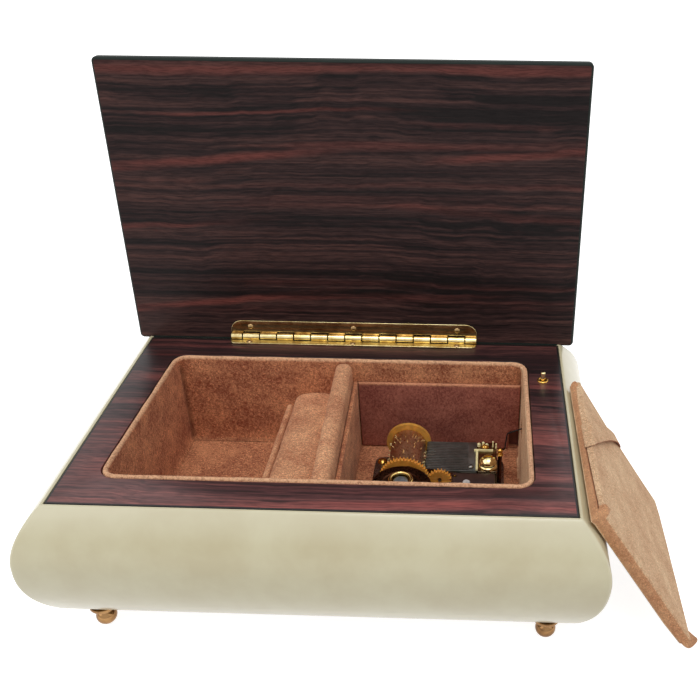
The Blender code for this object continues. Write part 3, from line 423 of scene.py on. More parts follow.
def red_band(tree, band, sway):
    """A long red streak of the lid's veneer between two points (x, height over the hinge) in mm."""
    x0, h0, x1, h1, half_width, strength = band
    x, _, z = axes(tree)
    slope = (h1 - h0) / (x1 - x0)
    line = calculate(tree, "MULTIPLY_ADD", x, slope, (h0 + AXIS_Z) * MM - slope * world_x(x0))
    off = calculate(tree, "ABSOLUTE", calculate(tree, "SUBTRACT", calculate(tree, "ADD", z, sway), line))
    across = spread(tree, off, 0.3 * half_width * MM, 1.3 * half_width * MM, 1.0, 0.0)
    start = spread(tree, x, world_x(x0 - BAND_FADE_IN), world_x(x0), 0.0, 1.0)
    end = spread(tree, x, world_x(x1), world_x(x1 + BAND_FADE_OUT), 1.0, 0.0)
    return times(tree, times(tree, across, times(tree, start, end)), strength)


def painted_deck_light_and_shade(tree):
    """A grey of painted light and shade for the deck's veneer: painted shade along its rear and left end,
    painted light in front.
    """
    x, y, _ = axes(tree)
    front = spread(tree, y, world_y(TRAY_Y), world_y(-TRAY_Y), DECK_REAR_PAINTED_SHADE, DECK_FRONT_PAINTED_LIGHT)
    left = spread(tree, x, world_x(-HALF_W), world_x(-TRAY_X), DECK_LEFT_PAINTED_SHADE, 1.0)
    grey = times(tree, front, left)
    return add(tree, "ShaderNodeCombineColor", {"Red": grey, "Green": grey, "Blue": grey}).outputs[0]


def edge_mask(tree):
    """1 on a thin border along the deck's outer edges, and 0 inside it."""
    masks = []
    for place, middle, half in zip(axes(tree), CENTRE, (HALF_W, HALF_D)):
        away = calculate(tree, "ABSOLUTE", calculate(tree, "SUBTRACT", place, middle))
        masks.append(calculate(tree, "GREATER_THAN", away, (half - 0.75) * MM))
    return calculate(tree, "MAXIMUM", *masks)


def lacquer(name, colour, roughness, clouded, painted_brow_highlight=None, coat=0.3, shine=0.5):
    """Smooth lacquer with a faint cloudiness, and a painted highlight on the front face under the deck's edge
    where its colour is given.
    """
    tree, shader, material = start_material(name, Roughness=roughness, Coat_Weight=coat, Coat_Roughness=0.08,
                                            Specular_IOR_Level=shine)
    clouds = noise_at(tree, object_place(tree), 42.0, 4.0, 0.6)
    shade = ramp(tree, clouds, [(0.35, srgb(*clouded)), (0.62, srgb(*colour))])
    if painted_brow_highlight:
        # Painted highlight: paler towards the deck's edge, on the front face only.
        _, y, z = axes(tree)
        amount = spread(tree, z, (DECK_TOP - 8.0) * MM, (DECK_TOP - 2.0) * MM, 0.0, 0.4)
        ahead = spread(tree, y, world_y(-HALF_D), world_y(-HALF_D - 1.0), 0.0, 1.0)
        shade = blend_colours(tree, times(tree, amount, ahead), shade, srgb(*painted_brow_highlight))
    feed(tree, shader.inputs["Base Color"], shade)
    bump(tree, shader, noise_at(tree, object_place(tree), 260.0, 2.0), 0.05, 0.0004)
    return material


def suede(name, light, dark, rim_highlight=None, rim_highlight_height=DECK_TOP, speckle=1.0, crease_shade=False):
    """Flocked suede cloth with a short, brushed nap, with a painted highlight along a rim where its colour is
    given, and painted shade in the tray's creases where asked.
    """
    tree, shader, material = start_material(name, Roughness=0.95, Sheen_Weight=0.3, Sheen_Roughness=0.5,
                                            Sheen_Tint=srgb(245, 205, 175), Specular_IOR_Level=0.15)
    light = srgb(*light)
    dark = srgb(*dark)
    middle = tuple((a + b) / 2 for a, b in zip(light, dark))
    brushed = noise_at(tree, object_place(tree), 95.0, 3.0, 0.6)
    nap = noise_at(tree, object_place(tree, (1.0, 1.5, 0.8)), 1050.0, 3.0, 0.75, 0.8)
    fibres = noise_at(tree, object_place(tree, (1.0, 1.0, 1.7)), 2800.0, 2.0, 0.6)
    mixed = calculate(tree, "MULTIPLY_ADD", brushed, 0.36, times(tree, nap, 0.64))
    colour = ramp(tree, mixed, [(0.4, dark), (0.5, middle), (0.6, light)])
    low = 1.0 - 0.32 * speckle
    high = 1.0 + 0.42 * speckle
    flecks = ramp(tree, fibres, [(0.36, (low, low * 0.97, low * 0.95, 1.0)), (0.56, (1.0, 1.0, 1.0, 1.0)),
                                 (0.68, (high, high * 0.98, high * 0.95, 1.0))])
    colour = blend_colours(tree, 0.9, colour, flecks, "MULTIPLY")
    if rim_highlight:
        # Painted highlight along the top of a rim, patchy with the nap.
        amount = spread(tree, axes(tree)[2], (rim_highlight_height - 1.0) * MM, rim_highlight_height * MM, 0.0, 0.8)
        patchy = times(tree, amount, spread(tree, nap, 0.35, 0.6, 0.35, 1.0))
        colour = blend_colours(tree, patchy, colour, srgb(*rim_highlight))
    if crease_shade:
        # Painted shade in the tray's creases.
        colour = blend_colours(tree, painted_tray_crease_shade(tree), colour, darker(dark, 0.3))
    feed(tree, shader.inputs["Base Color"], colour)
    height = calculate(tree, "MULTIPLY_ADD", nap, 0.7, times(tree, fibres, 0.3))
    bump(tree, shader, height, 0.6, 0.0006)
    return material


def painted_tray_crease_shade(tree):
    """A mask of painted shade in the tray's rear corners and along the foot of its rear wall, where the cloth
    is tucked in.
    """
    x, y, z = axes(tree)
    flat = add(tree, "ShaderNodeCombineXYZ", {"X": x, "Y": y}).outputs[0]
    masks = []
    for corner in (-INNER_X + 0.8, INNER_X):
        spot = (world_x(corner), world_y(INNER_Y), 0.0)
        away = add(tree, "ShaderNodeVectorMath", {0: flat, 1: spot}, operation="DISTANCE").outputs["Value"]
        masks.append(spread(tree, away, 0.3 * MM, 2.0 * MM, 0.6, 0.0))
    below = spread(tree, z, (DECK_TOP - 6.0) * MM, (DECK_TOP - 2.0) * MM, 1.0, 0.0)
    corners = times(tree, calculate(tree, "MAXIMUM", *masks), below)
    above = calculate(tree, "ABSOLUTE", calculate(tree, "SUBTRACT", z, (TRAY_FLOOR_TOP + 0.5) * MM))
    rear = spread(tree, y, world_y(INNER_Y - 1.4), world_y(INNER_Y - 0.5), 0.0, 1.0)
    foot = times(tree, spread(tree, above, 0.2 * MM, 1.2 * MM, 0.3, 0.0), rear)
    return calculate(tree, "MAXIMUM", corners, foot)


def metal(name, colour, roughness, worn, grain=(1.0, 1.0, 1.0), grain_scale=1400.0, strength=0.08):
    """A metal with fine working marks and a little tarnish."""
    tree, shader, material = start_material(name, Metallic=1.0)
    stain = noise_at(tree, object_place(tree), 190.0, 4.0, 0.6)
    marks = noise_at(tree, object_place(tree, grain), grain_scale, 2.0)
    feed(tree, shader.inputs["Base Color"], ramp(tree, stain, [(0.34, srgb(*worn)), (0.6, srgb(*colour))]))
    feed(tree, shader.inputs["Roughness"], spread(tree, marks, 0.3, 0.7, roughness * 0.7, roughness * 1.35))
    bump(tree, shader, marks, strength, 0.00005)
    return material


def moulded(name, colour, roughness=0.3, glow=0.0):
    """Moulded plastic, a little translucent where the real one is."""
    tree, shader, material = start_material(name, Roughness=roughness, Subsurface_Weight=glow,
                                            Subsurface_Radius=(0.0012, 0.0006, 0.0003))
    colour = srgb(*colour)
    clouds = noise_at(tree, object_place(tree), 300.0, 2.0)
    feed(tree, shader.inputs["Base Color"], ramp(tree, clouds, [(0.35, darker(colour, 0.75)), (0.6, colour)]))
    bump(tree, shader, noise_at(tree, object_place(tree), 1800.0, 2.0), 0.06, 0.00005)
    return material


def plywood():
    """Plain wood under the case."""
    tree, shader, material = start_material("plywood_bottom", Roughness=0.6)
    grain = noise_at(tree, object_place(tree, (12.0, 260.0, 260.0)), 1.0, 4.0, 0.6)
    colour = ramp(tree, grain, [(0.35, srgb(150, 108, 70)), (0.6, srgb(190, 148, 104))])
    feed(tree, shader.inputs["Base Color"], colour)
    bump(tree, shader, grain, 0.2, 0.0001)
    return material


# The last colour is the painted highlight under the deck's front edge.
CREAM = lacquer("cream_lacquer_looks", (214, 206, 172), 0.28, (204, 193, 157), (224, 218, 192))
LID_WOOD = rosewood("lid_veneer", (0.31, 0.07, 0.013), shine=0.1, bands=RED_BANDS)
DECK_WOOD = rosewood("deck_veneer", (0.9, 0.42, 0.2), (2.2, 1.62, 1.66), shine=0.4, deck=True)
LID_BACK = rosewood("lid_outer_veneer", (1.7, 0.9, 0.5), (1.2, 1.2, 1.2))
EDGE_LACQUER = lacquer("edge_lacquer", (28, 36, 32), 0.5, (22, 30, 26), coat=0.0, shine=0.15)
BOTTOM_WOOD = plywood()
# The tray's suede, with a painted highlight along the liner's top and painted shade in its creases.
TRAY_SUEDE = suede("tray_suede", (236, 168, 122), (150, 83, 61), (242, 196, 156), speckle=1.4,
                   crease_shade=True)
# A darker, redder copy of the tray's suede for the rear panel under the ledge: painted shade, with a painted
# highlight along the ledge's top.
SHADED_PANEL_SUEDE = suede("panel_suede_painted_shade", (186, 116, 98), (130, 70, 62), (224, 162, 120), LEDGE_TOP)
# A lighter copy of the tray's suede for the inner right wall: painted light.
LIT_RIGHT_WALL_SUEDE = suede("right_wall_suede_painted_light", (255, 222, 178), (226, 166, 126), (252, 212, 170), speckle=1.2)
PAD_SUEDE = suede("pad_suede", (242, 186, 142), (186, 120, 88), speckle=1.4)
LOOSE_SUEDE = suede("cover_suede_looks", (246, 213, 173), (208, 162, 125))
# A darker, redder copy of the cover's cloth for its sides and turned corners: painted shade.
SHADED_SIDE_SUEDE = suede("cover_side_painted_shade", (224, 170, 126), (194, 136, 98))
# A dark, reddish copy of the cloth for the strap's lower edge: painted shadow.
STRAP_EDGE_SHADE_SUEDE = suede("strap_edge_painted_shade", (176, 104, 76), (140, 78, 56))
# A darker copy of the cloth inside the open join on the cover's edge: painted shade.
SLIT_SHADE_SUEDE = suede("cover_slit_painted_shade", (140, 90, 66), (104, 66, 48))
GOLD_BRASS = metal("polished_brass", (246, 230, 176), 0.12, (206, 178, 116))
# Copies of the hinge's brass: darker for the lid leaf's faces and the nails, painted shade; lighter for the
# deck leaf's faces, painted light.
SHADED_LEAF_BRASS = metal("leaf_brass", (168, 140, 98), 0.2, (126, 100, 66))
LIT_SATIN_BRASS = metal("satin_brass_painted_light", (206, 182, 118), 0.38, (170, 142, 84))
# A pale gold that does not mirror, for the clamp's strips and bits: painted highlight.
HIGHLIGHT_BRASS = moulded("bright_brass_painted_highlight", (255, 242, 184), 0.2)
DRUM_BRASS = metal("drum_brass", (206, 166, 134), 0.34, (180, 142, 112))
CLAMP_METAL = metal("clamp_metal", (140, 122, 96), 0.2, (100, 84, 66))
DARK_BRASS = metal("movement_brass", (214, 166, 84), 0.24, (150, 104, 50))
FOOT_BRASS = metal("foot_brass", (164, 126, 84), 0.12, (112, 80, 52))
PLATED_STEEL = metal("plated_steel", (150, 146, 138), 0.3, (104, 98, 92))
KEY_STEEL = metal("key_steel", (150, 154, 160), 0.5, (120, 124, 128))
BLUED_STEEL = metal("blued_steel", (44, 42, 42), 0.35, (28, 26, 26))
COMB_GREY = metal("ground_steel", (140, 142, 138), 0.42, (112, 114, 110), (20.0, 1.0, 1.0), 300.0, 0.12)
RING_GOLD = metal("ring_gold", (250, 222, 150), 0.22, (206, 168, 96))
BRONZE = metal("barrel_finish", (92, 58, 42), 0.3, (58, 34, 26))
AMBER = moulded("amber_nylon", (238, 166, 72), 0.3, 0.35)
YELLOW = moulded("yellow_nylon", (232, 172, 78), 0.3, 0.35)
DARK_PLASTIC = moulded("dark_plastic", (64, 46, 42), 0.3)
SHADE_BROWN = moulded("shade_brown", (112, 62, 52), 0.6)
PALE_PLASTIC = moulded("pale_plastic", (210, 206, 204), 0.3)


def new_object(name, data):
    """A new object in the scene."""
    obj = bpy.data.objects.new(name, data)
    bpy.context.scene.collection.objects.link(obj)
    return obj


def make_piece(name, shape, materials, body, nodes="", matrix=None, smooth=35.0):
    """A shape in millimetres as a piece that rides on a body and stands for its CAD nodes."""
    mesh = shape if isinstance(shape, bpy.types.Mesh) else mesh_from(shape)
    mesh.transform(TO_WORLD @ (matrix or Matrix.Identity(4)))
    for face in mesh.polygons:
        face.use_smooth = True
    mesh.set_sharp_from_angle(angle=radians(smooth))
    obj = new_object(name, mesh)
    for material in materials:
        mesh.materials.append(material)
    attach(obj, body)
    if nodes:
        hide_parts(*nodes.split())
    return obj


def turned_piece(name, profile, steps, material, body, node="", matrix=None):
    """A turned piece of one material."""
    bm = bmesh.new()
    add_turned(bm, profile, steps)
    make_piece(name, bm, [material], body, node, matrix)


def box_piece(name, low, high, material):
    """A plain small piece of the case between two corners."""
    bm = bmesh.new()
    add_box(bm, low, high)
    make_piece(name, bm, [material], "case")


def mesh_from(bm, name="mesh"):
    """A bmesh as a mesh, with its faces turned outwards."""
    bmesh.ops.recalc_face_normals(bm, faces=bm.faces[:])
    mesh = bpy.data.meshes.new(name)
    bm.to_mesh(mesh)
    bm.free()
    return mesh


def add_box(bm, low, high):
    """A box between two corners, added to a bmesh."""
    made = bmesh.ops.create_cube(bm, size=1.0)["verts"]
    bmesh.ops.scale(bm, vec=[b - a for a, b in zip(low, high)], verts=made)
    bmesh.ops.translate(bm, vec=[(a + b) / 2 for a, b in zip(low, high)], verts=made)


def rounded_rect(half_x, half_y, radius, steps=8, centre=(0.0, 0.0)):
    """The outline of a rectangle with round corners."""
    points = []
    for corner, (sx, sy) in enumerate(((1, 1), (-1, 1), (-1, -1), (1, -1))):
        for step in range(steps + 1):
            angle = radians(90.0 * (corner + step / steps))
            points.append((centre[0] + sx * (half_x - radius) + radius * cos(angle),
                           centre[1] + sy * (half_y - radius) + radius * sin(angle)))
    return points


def circle(radius, steps=32, centre=(0.0, 0.0)):
    """The outline of a circle."""
    turns = [2 * pi * step / steps for step in range(steps)]
    return [(centre[0] + radius * cos(a), centre[1] + radius * sin(a)) for a in turns]


def add_loft(bm, rings, close=False):
    """Faces between rings of points, with the last ring joined to the first or both ends closed."""
    made = [[bm.verts.new(point) for point in ring] for ring in rings]
    count = len(rings[0])
    pairs = list(zip(made, made[1:]))
    if close:
        pairs.append((made[-1], made[0]))
    for first, second in pairs:
        for index in range(count):
            after = (index + 1) % count
            bm.faces.new((first[index], first[after], second[after], second[index]))
    if not close:
        bm.faces.new(made[0])
        bm.faces.new(made[-1])
    return made


def add_turned(bm, profile, steps, matrix=None):
    """A profile of (radius, height) spun about z, added to a bmesh."""
    rings = [[(x, y, height) for x, y in circle(max(radius, 1e-4), steps)] for radius, height in profile]
    made = add_loft(bm, rings, close=profile[0][0] > 0.0)
    if matrix:
        bmesh.ops.transform(bm, matrix=matrix, verts=[vertex for ring in made for vertex in ring])


def arc(centre_radius, centre_height, radius, start, end, steps=5):
    """Points (radius, height) on an arc, for a turned profile. Angles are in degrees."""
    points = []
    for step in range(steps + 1):
        angle = radians(start + (end - start) * step / steps)
        points.append((centre_radius + radius * cos(angle), centre_height + radius * sin(angle)))
    return points


def plate(outlines, low, high, edge=0.08, edge_steps=1):
    """A flat plate with holes between two heights, with its edges rounded off, as a bmesh."""
    curve = bpy.data.curves.new("plate", "CURVE")
    curve.dimensions = "2D"
    curve.fill_mode = "BOTH"
    curve.bevel_depth = edge
    curve.bevel_resolution = edge_steps
    curve.offset = -edge
    curve.extrude = (high - low) / 2 - edge
    for outline in outlines:
        spline = curve.splines.new("POLY")
        spline.points.add(len(outline) - 1)
        for point, (x, y) in zip(spline.points, outline):
            point.co = (x, y, 0.0, 1.0)
        spline.use_cyclic_u = True
    mesh = final_mesh(new_object("plate", curve))
    bpy.data.curves.remove(curve)
    mesh.transform(at(0.0, 0.0, (low + high) / 2))
    bm = bmesh.new()
    bm.from_mesh(mesh)
    bpy.data.meshes.remove(mesh)
    bmesh.ops.remove_doubles(bm, verts=bm.verts[:], dist=1e-4)
    bm.normal_update()
    return bm


def final_mesh(obj):
    """An object's finished mesh, with the object itself taken away."""
    bpy.context.view_layer.update()
    graph = bpy.context.evaluated_depsgraph_get()
    mesh = bpy.data.meshes.new_from_object(obj.evaluated_get(graph))
    bpy.data.objects.remove(obj, do_unlink=True)
    return mesh


def gear_outline(teeth, phase, below=1.05 * GEAR_MODULE, above=0.75 * GEAR_MODULE):
    """A spur gear's outline with curved flanks, with a tooth at the phase angle."""
    pitch_radius = teeth * GEAR_MODULE / 2
    tooth = 2 * pi / teeth
    flank = ((-0.2, -below), (-0.16, 0.0), (-0.1, above * 0.85), (-0.06, above), (0.06, above),
             (0.1, above * 0.85), (0.16, 0.0), (0.2, -below))
    points = []
    for index in range(teeth):
        for offset, rise in flank:
            angle = phase + (index + offset) * tooth
            points.append(((pitch_radius + rise) * cos(angle), (pitch_radius + rise) * sin(angle)))
    return points


def roughen(bm, amount, size, seed=0.0):
    """Move vertices along their normals by smooth noise, as hand-laid cloth does."""
    bm.normal_update()
    shift = Vector((seed, seed * 1.7, seed * 0.6))
    moves = [noise.noise(vertex.co / size + shift) * amount for vertex in bm.verts]
    for vertex, move in zip(bm.verts, moves):
        vertex.co += vertex.normal * move


def cut(target, tool):
    """A bmesh with the closed shapes of another taken away, as a mesh."""
    meshes = [mesh_from(target), mesh_from(tool)]
    obj, cutter = [new_object("cut", mesh) for mesh in meshes]
    modifier = obj.modifiers.new("cut", "BOOLEAN")
    modifier.operation = "DIFFERENCE"
    modifier.object = cutter
    result = final_mesh(obj)
    bpy.data.objects.remove(cutter, do_unlink=True)
    for mesh in meshes:
        bpy.data.meshes.remove(mesh)
    return result


def bulge_at(height):
    """How far the case's outer face stands out from the deck's edge at a height."""
    if height >= BULGE_HEIGHT:
        rise = (height - BULGE_HEIGHT) / (DECK_TOP - BULGE_HEIGHT)
        return RIM + (BULGE - RIM) * max(0.0, 1.0 - rise * rise) ** 0.94
    fall = (BULGE_HEIGHT - height) / (BULGE_HEIGHT - CASE_BOTTOM)
    return -BOTTOM_INSET + (BULGE + BOTTOM_INSET) * (1.0 - 0.902 * fall * fall) ** 0.626


def make_case():
    """The bowed, lacquered case in one smooth shell, with its deck and feet."""
    above = DECK_TOP - BULGE_HEIGHT
    below = BULGE_HEIGHT - CASE_BOTTOM
    heights = [DECK_TOP - above * (1.0 - cos(pi / 2 * step / 28)) for step in range(29)]
    heights += [BULGE_HEIGHT - below * sin(pi / 2 * step / 24) for step in range(1, 25)]
    profile = [(bulge_at(height), height) for height in heights]
    profile[-1] = (profile[-1][0] - 0.4, CASE_BOTTOM)
    seat = DECK_TOP - DECK_THICKNESS - GAP
    profile += [(-WALL_INNER, CASE_BOTTOM), (-WALL_INNER, seat), (0.15, seat), (0.15, DECK_TOP - 0.15),
                (0.3, DECK_TOP)]
    rings = []
    for out, height in profile:
        soft = 0.3 + (CORNER_SOFTNESS - 0.3) * limited((out - RIM) / 4.0)
        trim = REAR_TRIM if -1.0 < out < 0.5 else 0.0
        fall = limited((BULGE_HEIGHT - height) / below)
        fuller = LEFT_FULLER * sin(pi * fall) if out > -BOTTOM_INSET else 0.0
        rings.append([(x - fuller if x < 0.0 else x, y + trim if y > 0.0 else y, height)
                      for x, y in rounded_rect(HALF_W + out, HALF_D + out, soft, 6)])
    bm = bmesh.new()
    add_loft(bm, rings, close=True)
    make_piece("case_shell", bm, [CREAM], "case",
               "case_wall_front case_wall_right case_wall_rear case_wall_left", smooth=40)
    board = rounded_rect(HALF_W - 0.15, HALF_D - 0.15, 0.6, 3)
    board = [(x, y + REAR_TRIM if y > 0.0 else y) for x, y in board]
    opening = [tray_skew(x, y) for x, y in fine_rect(TRAY_X, TRAY_Y, TRAY_CORNER, 6.0)]
    # A dark strip along the rear rim under the open lid: painted shadow, in the edge lacquer.
    box_piece("deck_rear_painted_shadow", (-HALF_W + 0.3, HALF_D + 0.4, DECK_TOP + 0.02),
              (HALF_W - 0.3, HALF_D + 1.45, DECK_TOP + 0.1), EDGE_LACQUER)
    deck = plate([board, opening, circle(1.8, 24, STOP)], DECK_TOP - DECK_THICKNESS, DECK_TOP, 0.18, 2)
    make_piece("deck_veneered", deck, [DECK_WOOD], "case", "deck_frame")
    top = CASE_BOTTOM - GAP
    profile = [(0.0, top), (4.4, top)] + arc(4.4, top - 0.4, 0.4, 90, 0) + arc(4.4, top - 0.9, 0.4, 0, -90)
    profile += [(3.9, top - 1.5), (3.2, top - 1.8), (2.75, top - 2.2)]
    profile += arc(2.5, top - 2.9, 0.55, 50, -50) + [(2.4, top - 3.6), (2.7, top - 3.9)]
    profile += arc(0.5, 3.3, 3.0, 50, -60, 14) + [(1.8, 0.5), (1.6, 0.1), (1.4, 0.0), (0.0, 0.0)]
    for x, side in ((-FOOT_X, "left"), (FOOT_X, "right")):
        for y, end in ((-FOOT_Y, "front"), (FOOT_Y, "rear")):
            name = "foot_" + end + "_" + side
            turned_piece(name + "_turned", profile, 40, FOOT_BRASS, "case", name, at(x, y))


def make_liner():
    """The suede lined wall round the tray, with its rounded rim, and the tray's floor."""
    half = LINER_WALL / 2
    corner = TRAY_CORNER - GAP - half
    section = [(half, height, corner + half) for height in (CLOTH_FOOT, 30.0, 45.0, LINER_TOP - LINER_ROUND)]
    for step in range(1, 12):
        angle = pi * step / 12
        out = half * cos(angle)
        section.append((out, LINER_TOP - LINER_ROUND + LINER_ROUND * sin(angle), corner + out))
    inside = [(0.0, corner - half), (1.0, 2.6), (2.4, 1.6), (4.5, 1.0), (8.0, 0.7)]
    inside += [(drop, 0.6) for drop in (13.0, 19.0, 26.0, 33.0)]
    section += [(-half, LINER_TOP - LINER_ROUND - drop, soft) for drop, soft in inside]
    section += [(-half, 19.0, 0.6), (-half - 0.3, 18.1, 0.5), (-half - 0.9, CLOTH_FOOT, 0.5)]
    rings = []
    for out, height, soft in section:
        outline = fine_rect(LINER_X - half + out, LINER_Y - half + out, soft, 3.0)
        rings.append([(*tray_skew(x, y), height) for x, y in outline])
    bm = bmesh.new()
    add_loft(bm, rings, close=True)
    roughen(bm, 0.16, 7.0, 3.0)
    openings = bmesh.new()
    add_box(openings, (INNER_X - 2.0, WIRE_WALL_Y - 3.5, 34.5), (LINER_X + 1.0, WIRE_WALL_Y + 3.5, 39.5))
    add_box(openings, (SLOT_LEFT + 0.2, INNER_Y - 1.0, 18.0), (INNER_X - 0.1, LINER_Y - 0.5, 25.6))
    liner = cut(bm, openings)
    # Faces of the inner right wall take the lighter copy of the suede: painted light.
    for face in liner.polygons:
        if face.normal.x < -0.7 and face.center.x > 60.0 and face.center.z < DECK_TOP:
            face.material_index = 1
    make_piece("tray_liner_cloth", liner, [TRAY_SUEDE, LIT_RIGHT_WALL_SUEDE], "case", "tray_liner")
    # A dark plate in the rear panel's notch: painted shade.
    box_piece("slot_painted_shade_plate", (SLOT_LEFT + 0.3, LINER_Y - 1.0, 18.1), (INNER_X - 0.2, LINER_Y - 0.6, 25.5),
              SHADE_BROWN)
    floor = bmesh.new()
    add_box(floor, (-LINER_X + 0.4, -LINER_Y, TRAY_FLOOR_LOW), (LINER_X, LINER_Y, TRAY_FLOOR_TOP))
    for axis, length in enumerate((2 * LINER_X - 0.4, 2 * LINER_Y)):
        edges = [edge for edge in floor.edges
                 if abs(edge.verts[0].co[axis] - edge.verts[1].co[axis]) > 1.0]
        bmesh.ops.subdivide_edges(floor, edges=edges, cuts=int(length / 2.0), use_grid_fill=True)
    roughen(floor, 0.12, 9.0, 1.0)
    make_piece("tray_floor_cloth", floor, [TRAY_SUEDE], "case", "tray_floor")


def tray_skew(x, y):
    """The tray's opening is a little out of square at its left end."""
    share = limited((-x - 40.0) / (TRAY_X - 40.0))
    return x + share * (1.2 * y / TRAY_Y - 0.35), y


def fine_rect(half_x, half_y, radius, step):
    """A rounded rectangle's outline whose straight sides are split for cloth."""
    corners = rounded_rect(half_x, half_y, radius, 7)
    counts = [max(2, round(2 * (half - TRAY_CORNER) / step)) for half in (TRAY_X, TRAY_Y)]
    points = []
    for index, point in enumerate(corners):
        points.append(point)
        if index % 8 == 7:
            after = corners[(index + 1) % len(corners)]
            count = counts[index // 8 % 2]
            for part in range(1, count):
                points.append(tuple(a + (b - a) * part / count for a, b in zip(point, after)))
    return points


def padded_bar(node, low_x, high_x, high_z, round_over, seed, skew=(0.0, 0.0)):
    """A suede covered bar along y with a rounded top, softened as hand-laid cloth."""
    half = (high_x - low_x) / 2
    middle = (high_x + low_x) / 2
    reach = INNER_Y - GAP
    waist = (CLOTH_FOOT + high_z - round_over) / 2
    section = [(middle + half, CLOTH_FOOT), (middle + half, waist)]
    for step in range(19):
        angle = pi * step / 18
        section.append((middle + half * cos(angle), high_z - round_over + round_over * sin(angle) ** 0.85))
    section += [(middle - half, waist), (middle - half, CLOTH_FOOT)]
    rings = []
    for step in range(45):
        y = -reach + 2 * reach * step / 44
        rings.append([(x + skew[0] + skew[1] * y, y, z) for x, z in section])
    bm = bmesh.new()
    add_loft(bm, rings)
    roughen(bm, 0.22, 9.0, seed)
    bar = make_piece(node + "_cloth", bm, [PAD_SUEDE], "case", node, smooth=50)


def make_tray_fittings():
    """The divider, the two ring rolls and the ledges that carry the cover."""
    left = DIVIDER_X - DIVIDER_THICKNESS / 2
    right = DIVIDER_X + DIVIDER_THICKNESS / 2
    padded_bar("tray_divider", left, right, DIVIDER_TOP, DIVIDER_THICKNESS / 2, 5.0,
               (DIVIDER_SHIFT, DIVIDER_SLANT))
    roll_left = left - GAP - ROLL_WIDTH
    padded_bar("ring_roll_wide", roll_left, left - GAP, ROLL_TOP, 4.5, 7.0)
    ridge = roll_left - RING_SLOT
    padded_bar("ring_roll_narrow", ridge - RIDGE_THICKNESS, ridge, RIDGE_TOP, RIDGE_THICKNESS / 2, 9.0)
    reach = INNER_Y - GAP
    start = right + GAP
    bm = bmesh.new()
    add_box(bm, (start, -reach, CLOTH_FOOT), (start + LEDGE_THICKNESS, reach, LEDGE_TOP))
    top = [edge for edge in bm.edges if min(vertex.co.z for vertex in edge.verts) > LEDGE_TOP - 0.01]
    bmesh.ops.bevel(bm, geom=top, offset=0.7, segments=4, profile=0.5, affect="EDGES")
    for vertex in bm.verts:
        vertex.co.x += DIVIDER_SHIFT + DIVIDER_SLANT * vertex.co.y
    make_piece("ledge_divider_cloth", bm, [TRAY_SUEDE], "case", "ledge_divider", smooth=50)
    start += LEDGE_THICKNESS - 1.2
    outline = [(start, CLOTH_FOOT), (SLOT_LEFT, CLOTH_FOOT), (SLOT_LEFT, 26.0), (INNER_X - 0.4, 27.0),
               (INNER_X - 0.4, LEDGE_TOP), (start, LEDGE_TOP)]
    bm = plate([outline], reach - LEDGE_THICKNESS, reach, 0.6, 4)
    bmesh.ops.scale(bm, vec=(1.0, 1.0, -1.0), verts=bm.verts[:])
    # The rear panel takes the darker copy of the suede: painted shade.
    make_piece("ledge_rear_cloth", bm, [SHADED_PANEL_SUEDE], "case", "ledge_rear", UPRIGHT, 50)


def make_lid():
    """The lid board with dark lacquered edges and veneered faces."""
    outline = rounded_rect(LID_HALF_X, (LID_BEHIND_AXIS - LID_FRONT) / 2, LID_CORNER, 10,
                           (LID_OFF_CENTRE, (LID_FRONT + LID_BEHIND_AXIS) / 2))
    board = mesh_from(plate([outline], LID_LOW, LID_LOW + LID_THICKNESS, LID_EDGE, 5))
    for face in board.polygons:
        side = 1 if face.normal.z > 0.0 else 0
        face.material_index = side if abs(face.normal.z) > 0.99 else 2
    make_piece("lid_board_veneered", board, [LID_WOOD, LID_BACK, EDGE_LACQUER], "lid", "lid_board",
               LID_TURN)


def add_knuckle(bm, centre, length):
    """A rolled knuckle round the hinge's axis, with a fine chamfer at its ends."""
    half = length / 2
    profile = [(0.7, -half), (BARREL_RADIUS - 0.12, -half), (BARREL_RADIUS, -half + 0.12),
               (BARREL_RADIUS, half - 0.12), (BARREL_RADIUS - 0.12, half), (0.7, half)]
    add_turned(bm, profile, 28, at(centre, 0.0) @ spin(90.0, "Y"))


def make_hinge_leaf(side, first, width, row, corner, slot, body, matrix, painted_face_brass):
    """A brass leaf with rounded corners and its rolled knuckles."""
    half = HINGE_LENGTH / 2
    outline = []
    for sign in (-1, 1):
        for step in range(9):
            angle = radians(180 + 90 * (step / 8 if sign < 0 else 1 + step / 8))
            outline.append((sign * (half - corner) + corner * cos(angle),
                            -width + corner + corner * sin(angle)))
    tabs = []
    pitch = (HINGE_LENGTH - 2 * END_KNUCKLE) / (KNUCKLES - 2)
    bounds = [-half] + [-half + END_KNUCKLE + index * pitch for index in range(KNUCKLES - 1)] + [half]
    for index, (low, high) in enumerate(zip(bounds, bounds[1:])):
        inner = -LEAF_EDGE if index % 2 == first else -(BARREL_RADIUS + slot)
        tabs += [(low + 0.08, inner), (high - 0.08, inner)]
    holes = [circle(0.8, 20, (sign * NAIL_SPACING, -row)) for sign in (-1, 0, 1)]
    bm = plate([tabs[::-1] + outline] + holes, -BARREL_RADIUS, -BARREL_RADIUS + LEAF_THICKNESS, 0.12, 2)
    # Flat faces take the painted copy of the brass; edges and knuckles keep the polished brass.
    for face in bm.faces:
        face.material_index = 1 if abs(face.normal.z) > 0.99 else 0
    for low, high in list(zip(bounds, bounds[1:]))[first::2]:
        add_knuckle(bm, (low + high) / 2, high - low - 2 * KNUCKLE_GAP)
    if body == "lid":
        bmesh.ops.scale(bm, vec=(1.0, 1.0, -1.0), verts=bm.verts[:])
    make_piece(side + "_leaf_rolled", bm, [GOLD_BRASS, painted_face_brass], body, "hinge_" + side + "_leaf",
               matrix=matrix)


